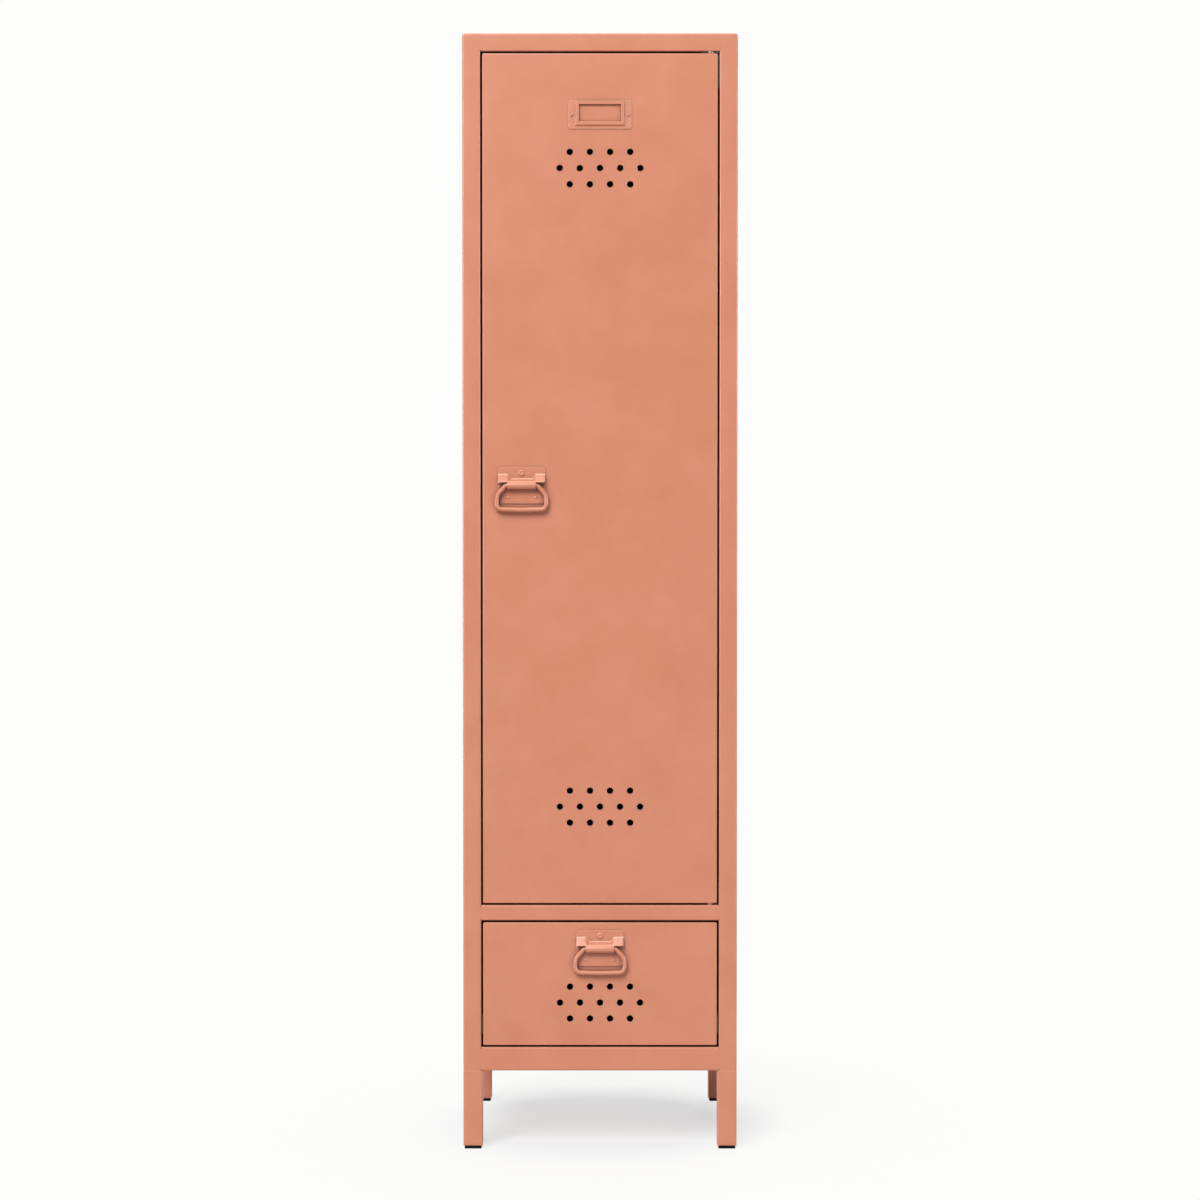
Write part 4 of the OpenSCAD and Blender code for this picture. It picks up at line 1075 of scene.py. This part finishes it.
def handle_rivets(kind):
    """A handle's dimpled upper rivet, its two small lower ones and the press marks on its plate."""
    size = sizes()
    node = f"{kind}_handle_rivets"
    axis = ANCHORS[f"{kind}_bail_swing"]
    low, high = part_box(node)
    small_x = (high.x - low.x - size.small_rivet) / 2
    big = [(axis.x, high.z - size.big_rivet / 2)]
    small = [(axis.x + side * small_x, low.z + size.small_rivet / 2) for side in (-1, 1)]
    pips = [(axis.x + x * MM, axis.z + z * MM) for x, z in PIPS[kind]]
    dimple = {"Dimple": 5.6 * MM, "Dimple_depth": 1.2 * MM}
    shapes = (
        (big, {"Width": size.big_rivet, "Height": RIVET_RISE, **dimple}),
        (small, {"Width": size.small_rivet, "Height": 1.4 * MM}),
        (pips, {"Width": size.pip, "Height": 0.6 * MM}),
    )
    heads = []
    for places, shape in shapes:
        spots = [(Vector((x, FRONT - size.press, z)), OUTWARD) for x, z in places]
        heads.append(grow("rivets", node, node, spots, **shape))
    place(join_meshes(f"{kind}_rivets", *heads), f"{kind}_rivet_heads", node)


def seen_rays(tree):
    """One for the rays of the camera and of what it sees in or through a surface."""
    path = add_node(tree, "ShaderNodeLightPath").outputs
    seen = path["Is Camera Ray"]
    for name in ("Is Glossy Ray", "Is Transmission Ray"):
        seen = calc(tree, "MAXIMUM", seen, path[name])
    return seen


def mixed_shaders(tree, share, first, second):
    return add_node(tree, "ShaderNodeMixShader", {0: share, 1: first, 2: second}).outputs["Shader"]


def diffuse(tree, code):
    return add_node(tree, "ShaderNodeBsdfDiffuse", {"Color": linear(code)}).outputs["BSDF"]


def stage_floor():
    """Pale studio floor: it takes the locker's shadow and runs out to white round it.

    The camera sees it paler than it is, so that the light it sends back stays low.
    """
    made, tree, space = new_material("Studio floor, pale")
    far = add_node(tree, "ShaderNodeVectorMath", {0: space}, operation="LENGTH").outputs["Value"]
    # The share of white grows from 0.65 at 0.18 m from the middle to 0.9 at 0.29 m and 1 at 0.65 m
    near = spread(tree, far, 0.65, 0.9, 0.18, 0.29)
    share = calc(tree, "ADD", near, spread(tree, far, 0.0, 0.1, 0.29, 0.65))
    tone = ramp(tree, share, (0.68, linear("F8FCFD")), (0.9, linear("FDFDFC")))
    white = add_node(tree, "ShaderNodeEmission", {"Color": tone, "Strength": 1.0}).outputs["Emission"]
    shown = mixed_shaders(tree, share, diffuse(tree, "F2F4F5"), white)
    whole = mixed_shaders(tree, seen_rays(tree), diffuse(tree, "D2C6BE"), shown)
    add_node(tree, "ShaderNodeOutputMaterial", {"Surface": whole})
    size = 14.0
    corners = [(x * size, y * size, FLOOR) for x, y in ((-1, -1), (1, -1), (1, 1), (-1, 1))]
    mesh = bpy.data.meshes.new("studio_floor")
    mesh.from_pydata(corners, [], [(0, 1, 2, 3)])
    mesh.materials.append(made)
    floor = added("studio_floor", mesh)


def stage_world():
    """Even studio light all round. The camera sees it as white, and gloss as a pale grey."""
    world = bpy.data.worlds.new("Studio")
    bpy.context.scene.world = world
    world.use_nodes = True
    tree = world.node_tree
    tree.nodes.clear()
    path = add_node(tree, "ShaderNodeLightPath").outputs
    even, gloss, white = (
        add_node(tree, "ShaderNodeBackground", {"Color": linear(code), "Strength": strength}).outputs[0]
        for code, strength in (("FFD8C0", 0.085), ("FFEDE2", 0.2), ("FDFDFC", 1.0))
    )
    shown = even
    for name, part in (("Is Glossy Ray", gloss), ("Is Transmission Ray", white), ("Is Camera Ray", white)):
        shown = mixed_shaders(tree, path[name], shown, part)
    add_node(tree, "ShaderNodeOutputWorld", {"Surface": shown})


def stage_light(name, position, target, size, power, tint="FFFFFF", mirrored=True, spread_out=True):
    """A soft box that faces its target. It may be left out of reflections, or of all but them."""
    lamp = bpy.data.lights.new(name, "AREA")
    lamp.color = linear(tint)[:3]
    lamp.shape = "RECTANGLE"
    lamp.size, lamp.size_y = size
    lamp.energy = power
    made = added(name, lamp)
    made.location = position
    made.rotation_euler = (target - made.location).to_track_quat("-Z", "Y").to_euler()
    made.visible_glossy = mirrored
    made.visible_diffuse = spread_out


def stage_camera():
    """The photograph's camera: level with the door's handle, far off and tipped down a little."""
    lens = bpy.data.cameras.new("Camera")
    lens.sensor_width = 36.0
    lens.lens = 78.67
    lens.clip_end = 60.0
    camera = added("Camera", lens)
    distance, height, tilt = 3819 * MM, 901.5 * MM, 1.459
    camera.location = (0.0, FRONT - distance, height)
    camera.rotation_euler = (math.radians(90 - tilt), 0.0, 0.0)
    bpy.context.scene.camera = camera


class LOCKER_OT_stage(bpy.types.Operator):
    """Sets up the camera, the floor and the studio light"""

    bl_idname = "locker.stage"
    bl_label = "Stage"

    def execute(self, context):
        context.scene.view_settings.view_transform = "Standard"
        stage_floor()
        stage_world()
        stage_camera()
        middle = Vector((0.0, FRONT, 0.95))
        key_from = middle + Vector((-0.36, -1.0, 1.0)).normalized() * 14.0
        stage_light("Key", key_from, middle, (7.5, 7.5), 1985.0)
        stage_light("Fill", (-0.6, -7.0, 0.5), middle, (4.0, 0.8), 18.0, "FFCFB4", mirrored=False)
        for x in (-4.5, 4.5):
            stage_light("Side", (x, -2.2, 1.3), middle, (1.3, 2.6), 200.0, spread_out=False)
        stage_light("Top", (0.0, 0.2, 3.6), Vector((0.0, 0.0, 0.0)), (2.0, 2.0), 36.0)
        stage_light("Back", (1.2, 5.5, 2.4), middle, (2.0, 2.0), 110.0)
        return {"FINISHED"}


class LOCKER_OT_cabinet_sheets(bpy.types.Operator):
    """Finishes the folded sheets of the cabinet and its shelf"""

    bl_idname = "locker.cabinet_sheets"
    bl_label = "Cabinet sheets"

    def execute(self, context):
        for side in ("left", "right"):
            welded_side(f"{side}_side_panel")
        dress_all("back_panel", "top_panel", "bottom_panel", "middle_deck", "hat_shelf")
        dress_all("door_stop_strip", "upper_pivot_bracket", "lower_pivot_bracket")
        return {"FINISHED"}


class LOCKER_OT_legs(bpy.types.Operator):
    """Finishes the leg tubes, their plates and bolts, and the feet"""

    bl_idname = "locker.legs"
    bl_label = "Legs and feet"

    def execute(self, context):
        edge = sizes().edge
        dress_all(*LEGS, edge=sizes().leg_edge)
        dress_all("leg_nut_plates", "corner_plates")
        soften(place(crisp_feet(), "feet_dressed", "feet"), edge)
        bolts = fasteners("leg_bolts")
        name = "leg_bolts_grown"
        spots = [spot for spot, shape in bolts]
        mesh = grow("bolts", name, "leg_bolts", spots, **bolts[0][1], Socket=sizes().socket)
        soften(place(mesh, name, "leg_bolts"), edge)
        return {"FINISHED"}


class LOCKER_OT_door(bpy.types.Operator):
    """Finishes the door's pan, its stiffener, pivots and strike plates"""

    bl_idname = "locker.door"
    bl_label = "Door"

    def execute(self, context):
        vented_front("door_skin")
        dress_all("door_stiffener", "strike_plates", "pivot_bushes", "pivot_reinforcements", "pivot_pins")
        return {"FINISHED"}


class LOCKER_OT_label_holder(bpy.types.Operator):
    """Finishes the pressed label holder and its rivets"""

    bl_idname = "locker.label_holder"
    bl_label = "Label holder"

    def execute(self, context):
        dress("label_holder")
        name = "label_rivet_heads"
        spots = [spot for spot, shape in fasteners("label_rivets")]
        width = sizes().label_rivet
        heads = grow("rivets", name, "label_rivets", spots, Width=width, Height=RIVET_RISE)
        place(heads, name, "label_rivets")
        return {"FINISHED"}


class LOCKER_OT_drawer(bpy.types.Operator):
    """Finishes the drawer's front and box"""

    bl_idname = "locker.drawer"
    bl_label = "Drawer"

    def execute(self, context):
        vented_front("drawer_front")
        dress_all("drawer_left_side", "drawer_right_side", "drawer_bottom", "drawer_back")
        return {"FINISHED"}


class LOCKER_OT_runners(bpy.types.Operator):
    """Finishes the runners, their carriers, rollers and axles"""

    bl_idname = "locker.runners"
    bl_label = "Runners"

    def execute(self, context):
        rails = ("runner_carrier", "cabinet_runner", "drawer_runner")
        rollers = ("cabinet_roller", "drawer_roller")
        for side in ("left", "right"):
            dress_all(*(f"{side}_{part}" for part in rails + rollers))
            for part in rollers:
                roller_ribs(f"{side}_{part}")
        dress_all("cabinet_roller_axles", "drawer_roller_axles")
        return {"FINISHED"}


class LOCKER_OT_fittings(bpy.types.Operator):
    """Finishes the coat rail, the shelf clips, the catches and the screws"""

    bl_idname = "locker.fittings"
    bl_label = "Fittings inside"

    def execute(self, context):
        dress_all("coat_rail", "coat_rail_sockets", "shelf_clips", "catch_housings", "catch_magnets")
        node = "pan_head_screws"
        screws = []
        for spot, shape in fasteners(node):
            screws.append(grow("screws", "screw", node, [spot], **shape, Cross=sizes().cross))
        place(join_meshes(f"{node}_grown", *screws), f"{node}_grown", node)
        return {"FINISHED"}


class LOCKER_OT_handles(bpy.types.Operator):
    """Models the two pressed handles with their knuckles, bails and rivets"""

    bl_idname = "locker.handles"
    bl_label = "Handles"

    def execute(self, context):
        for kind in KINDS:
            handle(kind)
            handle_rivets(kind)
        return {"FINISHED"}


class LOCKER_PT_panel(bpy.types.Panel):
    """Lists the locker's steps, finishes and sizes"""

    bl_label = "Locker"
    bl_idname = "LOCKER_PT_panel"
    bl_space_type = "VIEW_3D"
    bl_region_type = "UI"
    bl_category = "Locker"

    def draw(self, context):
        for step in STEPS:
            self.layout.operator(step.bl_idname)
        for group in (context.scene.locker_finish, context.scene.locker_sizes):
            column = self.layout.column(align=True)
            for name in group.__annotations__:
                column.prop(group, name)


STEPS = (
    LOCKER_OT_stage,
    LOCKER_OT_cabinet_sheets,
    LOCKER_OT_legs,
    LOCKER_OT_door,
    LOCKER_OT_label_holder,
    LOCKER_OT_drawer,
    LOCKER_OT_runners,
    LOCKER_OT_fittings,
    LOCKER_OT_handles,
)
CLASSES = (LockerFinish, LockerSizes, *STEPS, LOCKER_PT_panel)


def register():
    for item in CLASSES:
        bpy.utils.register_class(item)
    bpy.types.Scene.locker_finish = bpy.props.PointerProperty(type=LockerFinish)
    bpy.types.Scene.locker_sizes = bpy.props.PointerProperty(type=LockerSizes)


def unregister():
    del bpy.types.Scene.locker_sizes
    del bpy.types.Scene.locker_finish
    for item in reversed(CLASSES):
        bpy.utils.unregister_class(item)


def main():
    register()
    for step in STEPS:
        group, name = step.bl_idname.split(".")
        getattr(getattr(bpy.ops, group), name)()


if __name__ == "__main__":
    main()
